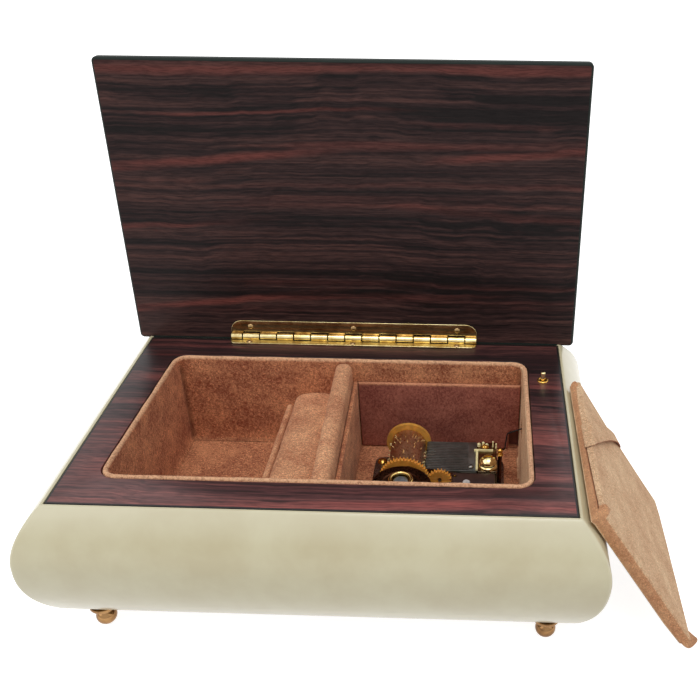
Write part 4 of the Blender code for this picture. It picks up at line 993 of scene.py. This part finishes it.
def make_hinge():
    """The piano hinge: two leaves and six nails. Its pin is the CAD's own."""
    make_hinge_leaf("lid", 0, UPPER_LEAF_WIDTH, LID_NAIL_ROW, UPPER_LEAF_CORNER, UPPER_LEAF_SLOT, "lid",
                    LID_TURN, SHADED_LEAF_BRASS)
    make_hinge_leaf("deck", 1, LOWER_LEAF_WIDTH, DECK_NAIL_ROW, LOWER_LEAF_CORNER, LOWER_LEAF_SLOT, "case",
                    DECK_LEAF_PLACE, LIT_SATIN_BRASS)
    foot = -BARREL_RADIUS + 0.05
    head = -BARREL_RADIUS + LEAF_THICKNESS
    profile = [(0.0, head + 0.6)] + arc(0.0, head - 0.85, 1.45, 80, 30, 7)
    profile += [(1.3, head + 0.02), (0.5, head + 0.02), (0.5, foot), (0.0, foot)]
    for body, prefix, place, row, tipped in (
            ("lid", "hinge_lid_nail_", LID_TURN, -LID_NAIL_ROW, spin(180.0, "X")),
            ("case", "hinge_deck_nail_", DECK_LEAF_PLACE, -DECK_NAIL_ROW, Matrix.Identity(4))):
        for number, x in enumerate((-NAIL_SPACING, 0.0, NAIL_SPACING), start=1):
            name = prefix + str(number)
            # The nails take the darker copy of the brass: painted shade.
            turned_piece(name + "_domed", profile, 28, SHADED_LEAF_BRASS, body, name,
                         matrix=place @ at(x, row) @ tipped)


def make_stop():
    """The stop pin, its ring, and the blackened wire that it moves."""
    place = at(*STOP)
    flange = DECK_TOP + 0.05
    profile = arc(1.65, flange, 0.45, 0, 180, 10)
    profile += [(1.15, DECK_TOP - 4.0), (1.5, DECK_TOP - 4.0), (1.5, flange - 0.05)]
    turned_piece("stop_ring", profile, 40, DARK_BRASS, "case", "stop_bush", matrix=place)
    profile = [(0.0, STOP_PIN_TOP)] + arc(0.35, STOP_PIN_TOP - 0.5, 0.5, 80, 0, 6)
    profile += [(0.85, STOP_PIN_TOP - 0.6), (0.85, STOP_PIN_FOOT), (0.0, STOP_PIN_FOOT)]
    turned_piece("stop_pin_turned", profile, 32, GOLD_BRASS, "stop_pin", "stop_pin", matrix=place)
    x, y, z = WIRE_PIVOT
    foot = BEDPLATE_TOP + 0.1
    ball = z + 2.6
    profile = [(0.0, ball + 1.05)] + arc(0.0, ball, 1.05, 85, -55, 10)
    profile += [(0.5, ball - 1.2), (1.2, ball - 1.5), (1.3, ball - 1.8), (1.1, ball - 2.1), (0.8, ball - 2.3),
                (0.8, foot), (0.0, foot)]
    bm = bmesh.new()
    add_turned(bm, profile, 32, at(x, y - 1.4))
    for face in bm.faces:
        face.material_index = 1 if face.calc_center_median().z < ball - 1.9 else 0
    make_piece("stop_post_turned", bm, [DARK_BRASS, BRONZE], "case", "stop_post")
    route = [(x + 0.2, y - 0.3, z + 2.4), (x + 1.7, y + 0.2, z + 2.0), (x + 2.8, WIRE_WALL_Y - 0.4, z + 4.2),
             (INNER_X, WIRE_WALL_Y + 0.2, z + 6.1),
             (STOP[0] + 0.5, STOP[1], STOP_PIN_FOOT - GAP - WIRE_RADIUS)]
    bm = bmesh.new()
    add_tube(bm, smooth_route(route, 10), WIRE_RADIUS, 12)
    make_piece("stop_wire_bent", bm, [BLUED_STEEL], "stop_wire", "stop_wire")


def smooth_route(points, parts):
    """A route through points as straight runs with small rounded bends."""
    route = [Vector(points[0])]
    for before, corner, after in zip(points, points[1:], points[2:]):
        corner = Vector(corner)
        back = Vector(before) - corner
        ahead = Vector(after) - corner
        reach = min(0.8, back.length * 0.4, ahead.length * 0.4)
        start = corner + back.normalized() * reach
        end = corner + ahead.normalized() * reach
        for step in range(parts + 1):
            part = step / parts
            route.append(start.lerp(corner, part).lerp(corner.lerp(end, part), part))
    route.append(Vector(points[-1]))
    return route


def add_tube(bm, route, radius, sides):
    """A tube of one radius along a route, added to a bmesh."""
    rings = []
    side = (route[1] - route[0]).normalized().orthogonal().normalized()
    for before, point, after in zip(route[:1] + route, route, route[1:] + route[-1:]):
        ahead = (after - before).normalized()
        side = (side - ahead * side.dot(ahead)).normalized()
        other = ahead.cross(side)
        rings.append([point + (side * x + other * y) * radius for x, y in circle(1.0, sides)])
    add_loft(bm, rings)


def make_barrel():
    """The bronze spring barrel with its gold ring and, under it, its toothed wheel."""
    place = at(AXLE_X, BARREL_Y)
    top = SPRING_BARREL_TOP
    radius = SPRING_BARREL_RADIUS
    low = BEDPLATE_TOP + GAP + CROWN_THICKNESS + GAP
    profile = arc(radius - 1.1, top - 1.1, 1.1, 0, 90, 8) + [(7.2, top), (6.9, top - 0.35), (5.4, top - 0.35)]
    profile += [(5.2, top), (2.9, top), (2.9, top - 1.0), (10.2, top - 1.0), (10.2, low), (radius, low)]
    profile += [(radius, low + 1.2), (radius - 0.15, low + 1.4), (radius, low + 1.6)]
    turned_piece("spring_barrel_drawn", profile, 72, BRONZE, "barrel", "spring_barrel",
                 place)
    profile = arc(3.85, top + 2.1, 0.6, 0, 175, 14)
    profile += [(3.25, top + 1.8), (3.25, top + GAP), (4.45, top + GAP)]
    turned_piece("barrel_ring_turned", profile, 64, RING_GOLD, "barrel", "barrel_ring", matrix=place)
    low = BEDPLATE_TOP + GAP
    outline = gear_outline(CROWN_TEETH, pi / CROWN_TEETH, 0.9, 0.9)
    wheel = plate([outline, circle(2.9, 32)], low, low + CROWN_THICKNESS, 0.06)
    make_piece("crown_wheel_cut", wheel, [PLATED_STEEL], "barrel", "crown_wheel", place)


def moulded_gear(node, teeth, phase, holes, body, x):
    """An amber gear on a level axle in the plane of the drum's gear."""
    half = GEAR_WIDTH / 2
    gear = plate([gear_outline(teeth, phase)] + holes, -GEAR_Y - half, -GEAR_Y + half, 0.05)
    make_piece(node + "_moulded", gear, [AMBER], body, node, at(x, 0.0, AXLE_Z) @ UPRIGHT)


def make_drum():
    """The pinned drum, its end disc and its gear."""
    place = at(AXLE_X, 0.0, AXLE_Z) @ ALONG_Y
    edge = 0.25
    bm = bmesh.new()
    add_turned(bm, [(DRUM_RADIUS - edge, DRUM_REAR), (DRUM_RADIUS, DRUM_REAR - edge),
                    (DRUM_RADIUS, DRUM_FRONT + edge), (DRUM_RADIUS - edge, DRUM_FRONT),
                    (DRUM_BORE, DRUM_FRONT), (DRUM_BORE, DRUM_REAR)], 96)
    plain = len(bm.faces)
    generator = random.Random(18)
    pitch = (COMB_REAR - COMB_FRONT) / COMB_TEETH
    for track in range(COMB_TEETH):
        y = COMB_FRONT + (track + 0.5) * pitch
        if not DRUM_FRONT + 0.4 < y < DRUM_REAR - 0.4:
            continue
        for row in range(PIN_ROWS):
            if generator.random() > PIN_SHARE:
                continue
            angle = 2 * pi * (row + 0.3 * generator.random()) / PIN_ROWS
            spot = Matrix.Rotation(angle, 4, "Z") @ at(DRUM_RADIUS - 0.1, 0.0, y) @ spin(90.0, "Y")
            add_turned(bm, [(0.0, 0.75), (0.12, 0.7), (0.18, 0.55), (0.18, 0.0), (0.0, 0.0)], 8, spot)
    mark_faces(bm, plain, 1)
    make_piece("drum_pinned", bm, [DRUM_BRASS, GOLD_BRASS], "drum", "drum", matrix=place)
    low = DRUM_REAR + GAP
    high = low + END_DISC_THICKNESS
    radius = END_DISC_RADIUS
    profile = arc(radius - 0.35, high - 0.35, 0.35, 90, 0) + [(radius, low), (6.0, low), (DRUM_BORE, low)]
    profile += [(DRUM_BORE, high), (2.4, high), (2.6, high - 0.5), (radius - 1.6, high - 0.5),
                (radius - 1.4, high)]
    turned_piece("drum_end_disc_moulded", profile, 72, YELLOW, "drum", "drum_end_disc",
                 place)
    windows = [circle(1.4, 20, spot) for spot in circle(5.0, 5)]
    moulded_gear("drum_gear", DRUM_TEETH, 0.0, [circle(DRUM_BORE, 24)] + windows, "drum", AXLE_X)


def mark_faces(bm, start, index):
    """Give the faces from a number on a material's index."""
    bm.faces.ensure_lookup_table()
    for face in bm.faces[start:]:
        face.material_index = index


def make_governor():
    """The small wheel, the worm spindle with its fan, and the dark housing with its pale cap."""
    moulded_gear("governor_wheel", SMALL_TEETH, pi / SMALL_TEETH, [circle(0.8, 20)], "governor_wheel",
                 GOVERNOR_X)
    spindle = at(SPINDLE_X, GEAR_Y)
    low = BEDPLATE_TOP + 0.1
    top = HOUSING_TOP
    bm = bmesh.new()
    add_turned(bm, [(0.0, top + 0.3), (0.4, top + 0.2), (0.45, top), (0.45, top - 1.6),
                    (WORM_RADIUS, top - 1.8), (WORM_RADIUS, FAN_LOW - 0.1), (0.45, FAN_LOW - 0.1),
                    (0.45, low + 0.2), (0.0, low + 0.2)], 24)
    steps = 16
    worm = [Vector((*circle(WORM_RADIUS, steps)[step % steps], WORM_LOW + WORM_PITCH * step / steps))
            for step in range(steps * WORM_TURNS + 1)]
    add_tube(bm, worm, 0.26, 6)
    add_box(bm, (-FAN_REACH, -0.3, FAN_LOW), (-0.4, 0.3, FAN_HIGH))
    add_box(bm, (0.4, -0.3, FAN_LOW), (FAN_REACH, 0.3, FAN_HIGH))
    make_piece("governor_fan_bladed", bm, [DARK_BRASS], "governor_fan", "governor_fan", matrix=spindle)
    left = SPINDLE_X - 0.9
    right = HOUSING_RIGHT
    bm = bmesh.new()
    add_box(bm, (left, HOUSING_FRONT, top - BRIDGE), (right, HOUSING_REAR, top))
    add_box(bm, (right - 6.0, HOUSING_FRONT + 0.8, low + 1.1), (right, HOUSING_REAR, top - BRIDGE))
    add_box(bm, (left - 1.0, HOUSING_FRONT + 0.8, low), (right, HOUSING_REAR, low + 1.1))
    bmesh.ops.bevel(bm, geom=bm.edges[:], offset=0.45, segments=3, profile=0.5, affect="EDGES")
    holes = bmesh.new()
    for high, deep in ((top + 1.0, top - 2.5), (low + 1.6, low - 1.0)):
        add_turned(holes, [(0.0, high), (0.75, high), (0.75, deep), (0.0, deep)], 24, spindle)
    make_piece("governor_housing_moulded", cut(bm, holes), [DARK_PLASTIC], "case", "governor_frame")
    profile = [(0.0, top + 1.0)] + arc(0.9, top + 0.5, 0.5, 80, -10, 6)
    profile += [(1.4, top + 0.02), (0.0, top + 0.02)]
    bm = bmesh.new()
    add_turned(bm, profile, 28, at(*CAP_PLACE))
    make_piece("governor_cap", bm, [PALE_PLASTIC], "case")


def make_comb():
    """The tuned comb with its slots, the clamp plate with its bits, and the screws."""
    pitch = (COMB_REAR - COMB_FRONT) / COMB_TEETH
    outline = [(COMB_END, COMB_FRONT), (COMB_END, COMB_REAR)]
    for index in reversed(range(COMB_TEETH)):
        middle = COMB_FRONT + (index + 0.5) * pitch
        outline += [(SLOT_END, middle + 0.33), (COMB_TIP + 1.2, middle + 0.34), (COMB_TIP, middle + 0.2),
                    (COMB_TIP, middle - 0.2), (COMB_TIP + 1.2, middle - 0.34), (SLOT_END, middle - 0.33)]
    comb = plate([outline], COMB_TOP - COMB_THICKNESS, COMB_TOP, 0.05)
    make_piece("comb_ground", comb, [COMB_GREY], "case", "comb")
    left = COMB_END + GAP
    middle = left + CLAMP_WIDTH / 2
    top = COMB_TOP + 0.75
    outline = rounded_rect(CLAMP_WIDTH / 2, (COMB_REAR - COMB_FRONT) / 2, 0.5, 4,
                           (middle, (COMB_FRONT + COMB_REAR) / 2))
    bm = plate([outline], COMB_TOP - COMB_THICKNESS, COMB_TOP, 0.1, 2)
    plain = len(bm.faces)
    add_box(bm, (left - 0.7, COMB_FRONT + 0.2, COMB_TOP + 0.1), (left + 0.1, COMB_REAR - 6.0, top))
    add_box(bm, (left - 1.4, COMB_REAR - 6.0, COMB_TOP + 0.1), (left + 5.9, COMB_REAR - 5.3, top))
    for x, y, radius, height in CLAMP_BITS:
        profile = [(0.0, height)] + arc(0.0, height - radius, radius, 85, 5, 5)
        profile += [(radius * 0.7, height - radius - 0.15), (radius, 0.0), (0.0, 0.0)]
        add_turned(bm, profile, 14, at(x, y, COMB_TOP))
    strips = len(bm.faces)
    boss = COMB_TOP + 1.1
    profile = [(0.0, boss)] + arc(2.6, boss - 0.9, 0.9, 88, 0, 8) + [(3.5, COMB_TOP), (0.0, COMB_TOP)]
    add_turned(bm, profile, 48, at(middle + 0.3, COMB_FRONT + 3.4))
    # The strips and bits take the pale gold of painted highlight; the boss is polished brass.
    mark_faces(bm, plain, 1)
    mark_faces(bm, strips, 2)
    make_piece("comb_clamp_stamped", bm, [CLAMP_METAL, HIGHLIGHT_BRASS, GOLD_BRASS], "case", "comb_clamp")
    foot = COMB_TOP + 0.1
    make_screw("comb_screw_large", (middle + 0.4, COMB_FRONT + 4.9, boss + 0.05), 3.2, 2.2, GOLD_BRASS, 4.0)
    make_screw("comb_screw_rear", (middle - 0.8, COMB_REAR - 3.0, foot), 1.4, 1.0, DARK_BRASS, 80.0)
    make_screw("comb_screw_small", (COMB_END - 2.2, COMB_FRONT + 2.6, foot), 1.2, 0.8, PLATED_STEEL, 10.0)


def make_screw(node, place, radius, height, material, angle):
    """A domed screw head with a driver slot."""
    dome = (radius * radius + height * height) / (2 * height)
    reach = degrees(asin(min(1.0, radius / dome)))
    bm = bmesh.new()
    add_turned(bm, [(0.0, height)] + arc(0.0, height - dome, dome, 88, 90 - reach, 9)
               + [(radius, 0.0), (0.0, 0.0)], 36)
    tool = bmesh.new()
    add_box(tool, (-radius - 1.0, -0.16 * radius, height * 0.45), (radius + 1.0, 0.16 * radius, height + 1.0))
    make_piece(node + "_slotted", cut(bm, tool), [material], "case", node,
               at(*place) @ spin(angle, "Z"))


def make_bed_screws():
    """The screws of the bedplate, on the CAD's own places."""
    for number, angle in ((1, 20.0), (2, 75.0), (3, 130.0)):
        node = "bed_screw_" + str(number)
        low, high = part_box(node)
        x, y = [((a + b) / 2 - c) / MM for a, b, c in zip(low[:2], high[:2], CENTRE[:2])]
        make_screw(node, (x, y, low[2] / MM), 2.0, 1.2, DARK_BRASS, angle)


def make_cover():
    """The loose cover that leans beside the case: a board wrapped in suede and its pull strap."""
    low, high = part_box("cover_pad")
    x, y, z = [((a + b) / 2 - c) / MM for a, b, c in zip(low, high, CENTRE)]
    place = at(x, y, z) @ spin(COVER_YAW_DEG, "Z") @ spin(COVER_SLOPE_DEG, "Y")
    make_cover_pad(place)
    make_cover_strap(place)


def make_cover_pad(place):
    """The cover's board in its cloth, with the open join along its upper edge and its folded corners."""
    bm = bmesh.new()
    count_x = 110
    count_y = 98
    lines_x = [COVER_X * warp(2 * i / count_x - 1) for i in range(count_x + 1)]
    lines_y = [COVER_Y * warp(2 * j / count_y - 1) for j in range(count_y + 1)]
    top = {}
    bottom = {}
    for i, x in enumerate(lines_x):
        for j, y in enumerate(lines_y):
            edge = min(COVER_X - abs(x), COVER_Y - abs(y))
            roll = 1.0 - sqrt(max(0.0, 1.0 - (1.0 - min(1.0, edge / 0.55)) ** 2))
            soft = 0.22 * noise.noise(Vector((x, y, 4.0)) / 13.0) * min(1.0, edge / 3.0)
            folded = corner_share(x, y)
            place_x, place_y = out_of_square(x, y)
            top[i, j] = bm.verts.new((place_x - 0.4 * folded, place_y,
                                      cover_top(x, y) + soft - 0.55 * roll + 0.9 * folded))
            front = (COVER_Y - y) / (2 * COVER_Y)
            swell = max((0.7 + 0.4 * front) * max(0.0, 1.0 - (x + COVER_X) / 7.0) ** 2,
                        0.65 * max(0.0, 1.0 - (y + COVER_Y) / 6.0) ** 2 * min(1.0, (COVER_X - x) / 12.0))
            bottom[i, j] = bm.verts.new((place_x, place_y, -COVER_THICKNESS / 2 + 0.6 * roll - swell))
    for i in range(count_x):
        for j in range(count_y):
            face = bm.faces.new((top[i, j], top[i + 1, j], top[i + 1, j + 1], top[i, j + 1]))
            x = COVER_X * warp((2 * i + 1) / count_x - 1)
            y = COVER_Y * warp((2 * j + 1) / count_y - 1)
            # Faces of the turned corner take the darker copy of the cloth: painted shade.
            face.material_index = 1 if corner_share(x, y) > 0.4 else 0
            bm.faces.new((bottom[i, j], bottom[i, j + 1], bottom[i + 1, j + 1], bottom[i + 1, j]))
    border = [(i, 0, 0.0, -1.0) for i in range(count_x)] + [(count_x, j, 1.0, 0.0) for j in range(count_y)]
    border += [(i, count_y, 0.0, 1.0) for i in range(count_x, 0, -1)]
    border += [(0, j, -1.0, 0.0) for j in range(count_y, 0, -1)]
    levels = [(height, 1.0) for height in (1.2, 0.8, 0.62, 0.38, 0.2)]
    levels += [(-0.3, 0.85), (-0.8, 0.55), (-1.2, 0.3)]
    columns = []
    for i, j, out_x, out_y in border:
        slit = slit_share(j / count_y) if out_x < 0.0 else 0.0
        column = [top[i, j]]
        x, y, _ = top[i, j].co
        for level, share in levels:
            pillow = 0.3 * cos(level / 1.9 * pi / 2)
            height = level
            if out_x < 0.0:
                pillow += 0.35 * slit if level < 0.25 else 0.0
                pillow -= 0.7 * slit if 0.25 < level < 0.65 else 0.0
                height -= 0.8 * share * min(1.0, j / (0.46 * count_y)) * min(1.0, 4.0 * (1.0 - j / count_y))
            column.append(bm.verts.new((x + pillow * out_x, y + pillow * out_y, height)))
        column.append(bottom[i, j])
        plain = out_x < 0.0 and corner_share(-COVER_X, lines_y[j]) < 0.4
        columns.append((column, plain, slit))
    for (column, plain, slit), (after, _, _) in zip(columns, columns[1:] + columns[:1]):
        for level in range(len(column) - 1):
            face = bm.faces.new((column[level], column[level + 1], after[level + 1], after[level]))
            # The sides take the darker copy of the cloth: painted shade.
            if level >= 3 or not plain:
                # The open join's inner faces take the darkest copy: painted shade.
                face.material_index = 2 if slit > 0.5 and level == 3 else 1
    add_fold(bm, UPPER_FOLD)
    add_fold(bm, LOWER_FOLD)
    pad = make_piece("cover_pad_cloth", bm, [LOOSE_SUEDE, SHADED_SIDE_SUEDE, SLIT_SHADE_SUEDE], "cover", "cover_pad",
                     place, 60)


def make_cover_strap(place):
    """The pull strap, laid over the cover's upper rear corner and tucked under at both ends."""
    rows = 48
    ends = (((-COVER_X, STRAP_ON_TOP[0]), (STRAP_ON_REAR[1], COVER_Y - 1.2)),
            ((-COVER_X, STRAP_ON_TOP[1]), (STRAP_ON_REAR[0], COVER_Y - 0.3)))
    rings = []
    for step in range(-4, rows + 5):
        part = limited(step / rows)
        past = (max(0, -step) + max(0, step - rows)) / 4.0
        arch = sin(pi * part)
        sides = []
        for (near, far), bow, rise, sink in zip(ends, (1.2, 0.4), (0.75, 0.3), (0.8, 0.0)):
            out_x = 0.7 * past if step < 0 else -0.1 * past
            out_y = 0.7 * past if step > rows else -0.1 * past
            x = near[0] + (far[0] - near[0]) * part - out_x - bow * 0.7 * arch
            y = near[1] + (far[1] - near[1]) * part + out_y + bow * arch
            lift = 0.1 + rise * arch ** 0.6 - sink * part ** 8 - 2.6 * past * past
            sides.append(Vector((x, y, cover_top(x, y) + lift)))
        rings.append(tape_ring(sides[0], sides[1], STRAP_THICKNESS))
    bm = bmesh.new()
    add_loft(bm, rings)
    bmesh.ops.recalc_face_normals(bm, faces=bm.faces[:])
    for face in bm.faces:
        # Faces turned to the strap's lower edge take the painted shadow.
        face.material_index = 1 if face.normal.dot(Vector((0.67, -0.74, 0.0))) > 0.3 else 0
    strap = make_piece("cover_strap_cloth", bm, [LOOSE_SUEDE, STRAP_EDGE_SHADE_SUEDE], "cover", "cover_strap",
                       place, 60)


def cover_top(x, y):
    """The height of the cover's top face: crowned in the middle and drooping a little along its rear edge."""
    edge = max(0.0, min(COVER_X - abs(x), COVER_Y - abs(y)))
    middle = 1.0 - (x / COVER_X) ** 2
    droop = (0.35 + 0.4 * middle) * limited(1.0 - (COVER_Y - y) / 10.0)
    return COVER_THICKNESS / 2 + COVER_CROWN * min(1.0, edge / 14.0) - droop


def corner_share(x, y):
    """How far the folded cloth stands up at the cover's upper front corner."""
    along = y + COVER_Y
    inwards = x + COVER_X
    return limited((5.4 - along) / 0.8) * limited(0.6 * along + 1.2 - inwards)


def warp(value):
    """Crowd a grid's lines towards both edges."""
    return value * (1.45 - 0.45 * value * value)


def out_of_square(x, y):
    """The cover's lower end is a little shorter than its upper end, most at its front corner."""
    down = (x + COVER_X) / (2 * COVER_X)
    front = (COVER_Y - y) / (2 * COVER_Y)
    return (x - down * (LOWER_END_IN + LOWER_CORNER_IN * front),
            y - down * (LOWER_END_ASIDE - LOWER_CORNER_ASIDE * front))


def slit_share(along):
    """How far the cloth's join stands open on the cover's upper edge, from the folded corner to the strap."""
    return limited(30.0 * (along - SLIT_START)) * limited(20.0 * (SLIT_END - along))


def add_fold(bm, outline, thickness=0.7):
    """A small turned corner of the side's cloth: a thin, softly rounded tab, added to a bmesh."""
    points = [Vector(point) for point in outline]
    centre = sum(points, Vector()) / len(points)
    for _ in range(2):
        points = [point.lerp(after, part) for point, after in zip(points, points[1:] + points[:1])
                  for part in (0.25, 0.75)]
    rings = []
    for inset, rise in ((0.35, -0.5), (0.0, -0.25), (0.0, 0.25), (0.35, 0.5)):
        rings.append([spot + (centre - spot).normalized() * inset + Vector((0.0, 0.0, rise * thickness))
                      for spot in points])
    plain = len(bm.faces)
    add_loft(bm, rings)
    # The tab takes the darker copy of the cloth: painted shade.
    mark_faces(bm, plain, 1)


def tape_ring(first, second, thickness, steps=6):
    """The cross section of a flat tape with rounded edges between two points."""
    across = (second - first) / (second - first).length
    half = thickness / 2
    ring = []
    for end, sign in ((second, 1), (first, -1)):
        for step in range(steps + 1):
            angle = pi / 2 * sign - pi * step / steps
            ring.append(end - sign * across * half + across * half * cos(angle)
                        + Vector((0.0, 0.0, half + half * sin(angle))))
    return ring


def finish_kept_nodes():
    """Materials and fine edges for the CAD nodes that keep their own shape."""
    for node, material, edge in (("base_panel", BOTTOM_WOOD, 0.2), ("hinge_pin", BLUED_STEEL, 0.05),
                                 ("bedplate", PLATED_STEEL, 0.15), ("bracket_front", BRONZE, 0.12),
                                 ("bracket_rear", PLATED_STEEL, 0.12), ("comb_base", CLAMP_METAL, 0.15),
                                 ("mainspring", BLUED_STEEL, 0.03), ("winding_key", KEY_STEEL, 0.25),
                                 ("drum_axle", PLATED_STEEL, 0.1),
                                 ("governor_wheel_axle", PLATED_STEEL, 0.08)):
        obj = bpy.data.objects[node]
        for slot in obj.material_slots:
            slot.link = "OBJECT"
            slot.material = material
        bevel = obj.modifiers.new("fine_edge", "BEVEL")
        bevel.width = edge * MM
        bevel.segments = 2
        bevel.limit_method = "ANGLE"
        bevel.angle_limit = radians(35.0)


def make_floor():
    """A plain pale floor that stays white to the camera and keeps the box's shadow."""
    bm = bmesh.new()
    bmesh.ops.create_grid(bm, x_segments=1, y_segments=1, size=6.0)
    mesh = mesh_from(bm)
    tree, shader, material = start_material("pale_floor", Roughness=0.9, Base_Color=(*[FLOOR_GREY] * 3, 1.0),
                                            Emission_Color=(1.0, 1.0, 1.0, 1.0))
    feed(tree, shader.inputs["Emission Strength"], times(tree, directly_seen(tree), FLOOR_LIFT))
    mesh.materials.append(material)
    new_object("floor", mesh)


def directly_seen(tree):
    """1 for the camera and for rays mirrored or let through to it, and 0 for light on the object."""
    path = add(tree, "ShaderNodeLightPath")
    seen = calculate(tree, "MAXIMUM", path.outputs["Is Camera Ray"], path.outputs["Is Glossy Ray"])
    return calculate(tree, "MAXIMUM", seen, path.outputs["Is Transmission Ray"])


def make_light():
    """A pale room and three broad soft lamps."""
    world = bpy.data.worlds.new("studio")
    bpy.context.scene.world = world
    world.use_nodes = True
    tree = world.node_tree
    background = tree.nodes["Background"]
    strength = spread(tree, directly_seen(tree), 0.0, 1.0, ROOM_LIGHT, 1.0)
    feed(tree, background.inputs["Strength"], strength)
    background.inputs["Color"].default_value = (1.0, 1.0, 1.0, 1.0)
    for name, towards, angle, energy in (("key_light", (0.05, -0.32, 1.0), KEY_ANGLE, KEY_LIGHT),
                                         ("left_light", (-0.8, -0.3, 0.8), SIDE_ANGLE, LEFT_LIGHT),
                                         ("right_light", (0.95, -0.15, 0.6), SIDE_ANGLE, RIGHT_LIGHT)):
        lamp = bpy.data.lights.new(name, "SUN")
        lamp.angle = radians(angle)
        lamp.energy = energy
        obj = new_object(name, lamp)
        obj.rotation_euler = (-Vector(towards)).to_track_quat("-Z", "Y").to_euler()


def make_camera():
    """The photograph's camera, fitted to the box's corners and edges."""
    data = bpy.data.cameras.new("photo_camera")
    data.sensor_width = 36.0
    data.lens = LENS
    data.shift_x, data.shift_y = CAMERA_SHIFT
    data.clip_start = 0.01
    camera = new_object("photo_camera", data)
    camera.matrix_world = (Matrix.Translation(TO_WORLD @ Vector(CAMERA_PLACE)) @ spin(HEADING, "Z")
                           @ spin(90.0 - TILT, "X") @ spin(ROLL, "Z"))
    bpy.context.scene.camera = camera


make_camera()
make_case()
make_liner()
make_tray_fittings()
make_lid()
make_hinge()
make_stop()
make_barrel()
make_drum()
make_governor()
make_comb()
make_bed_screws()
make_cover()
finish_kept_nodes()
make_floor()
make_light()
bpy.context.scene.view_settings.view_transform = "Standard"
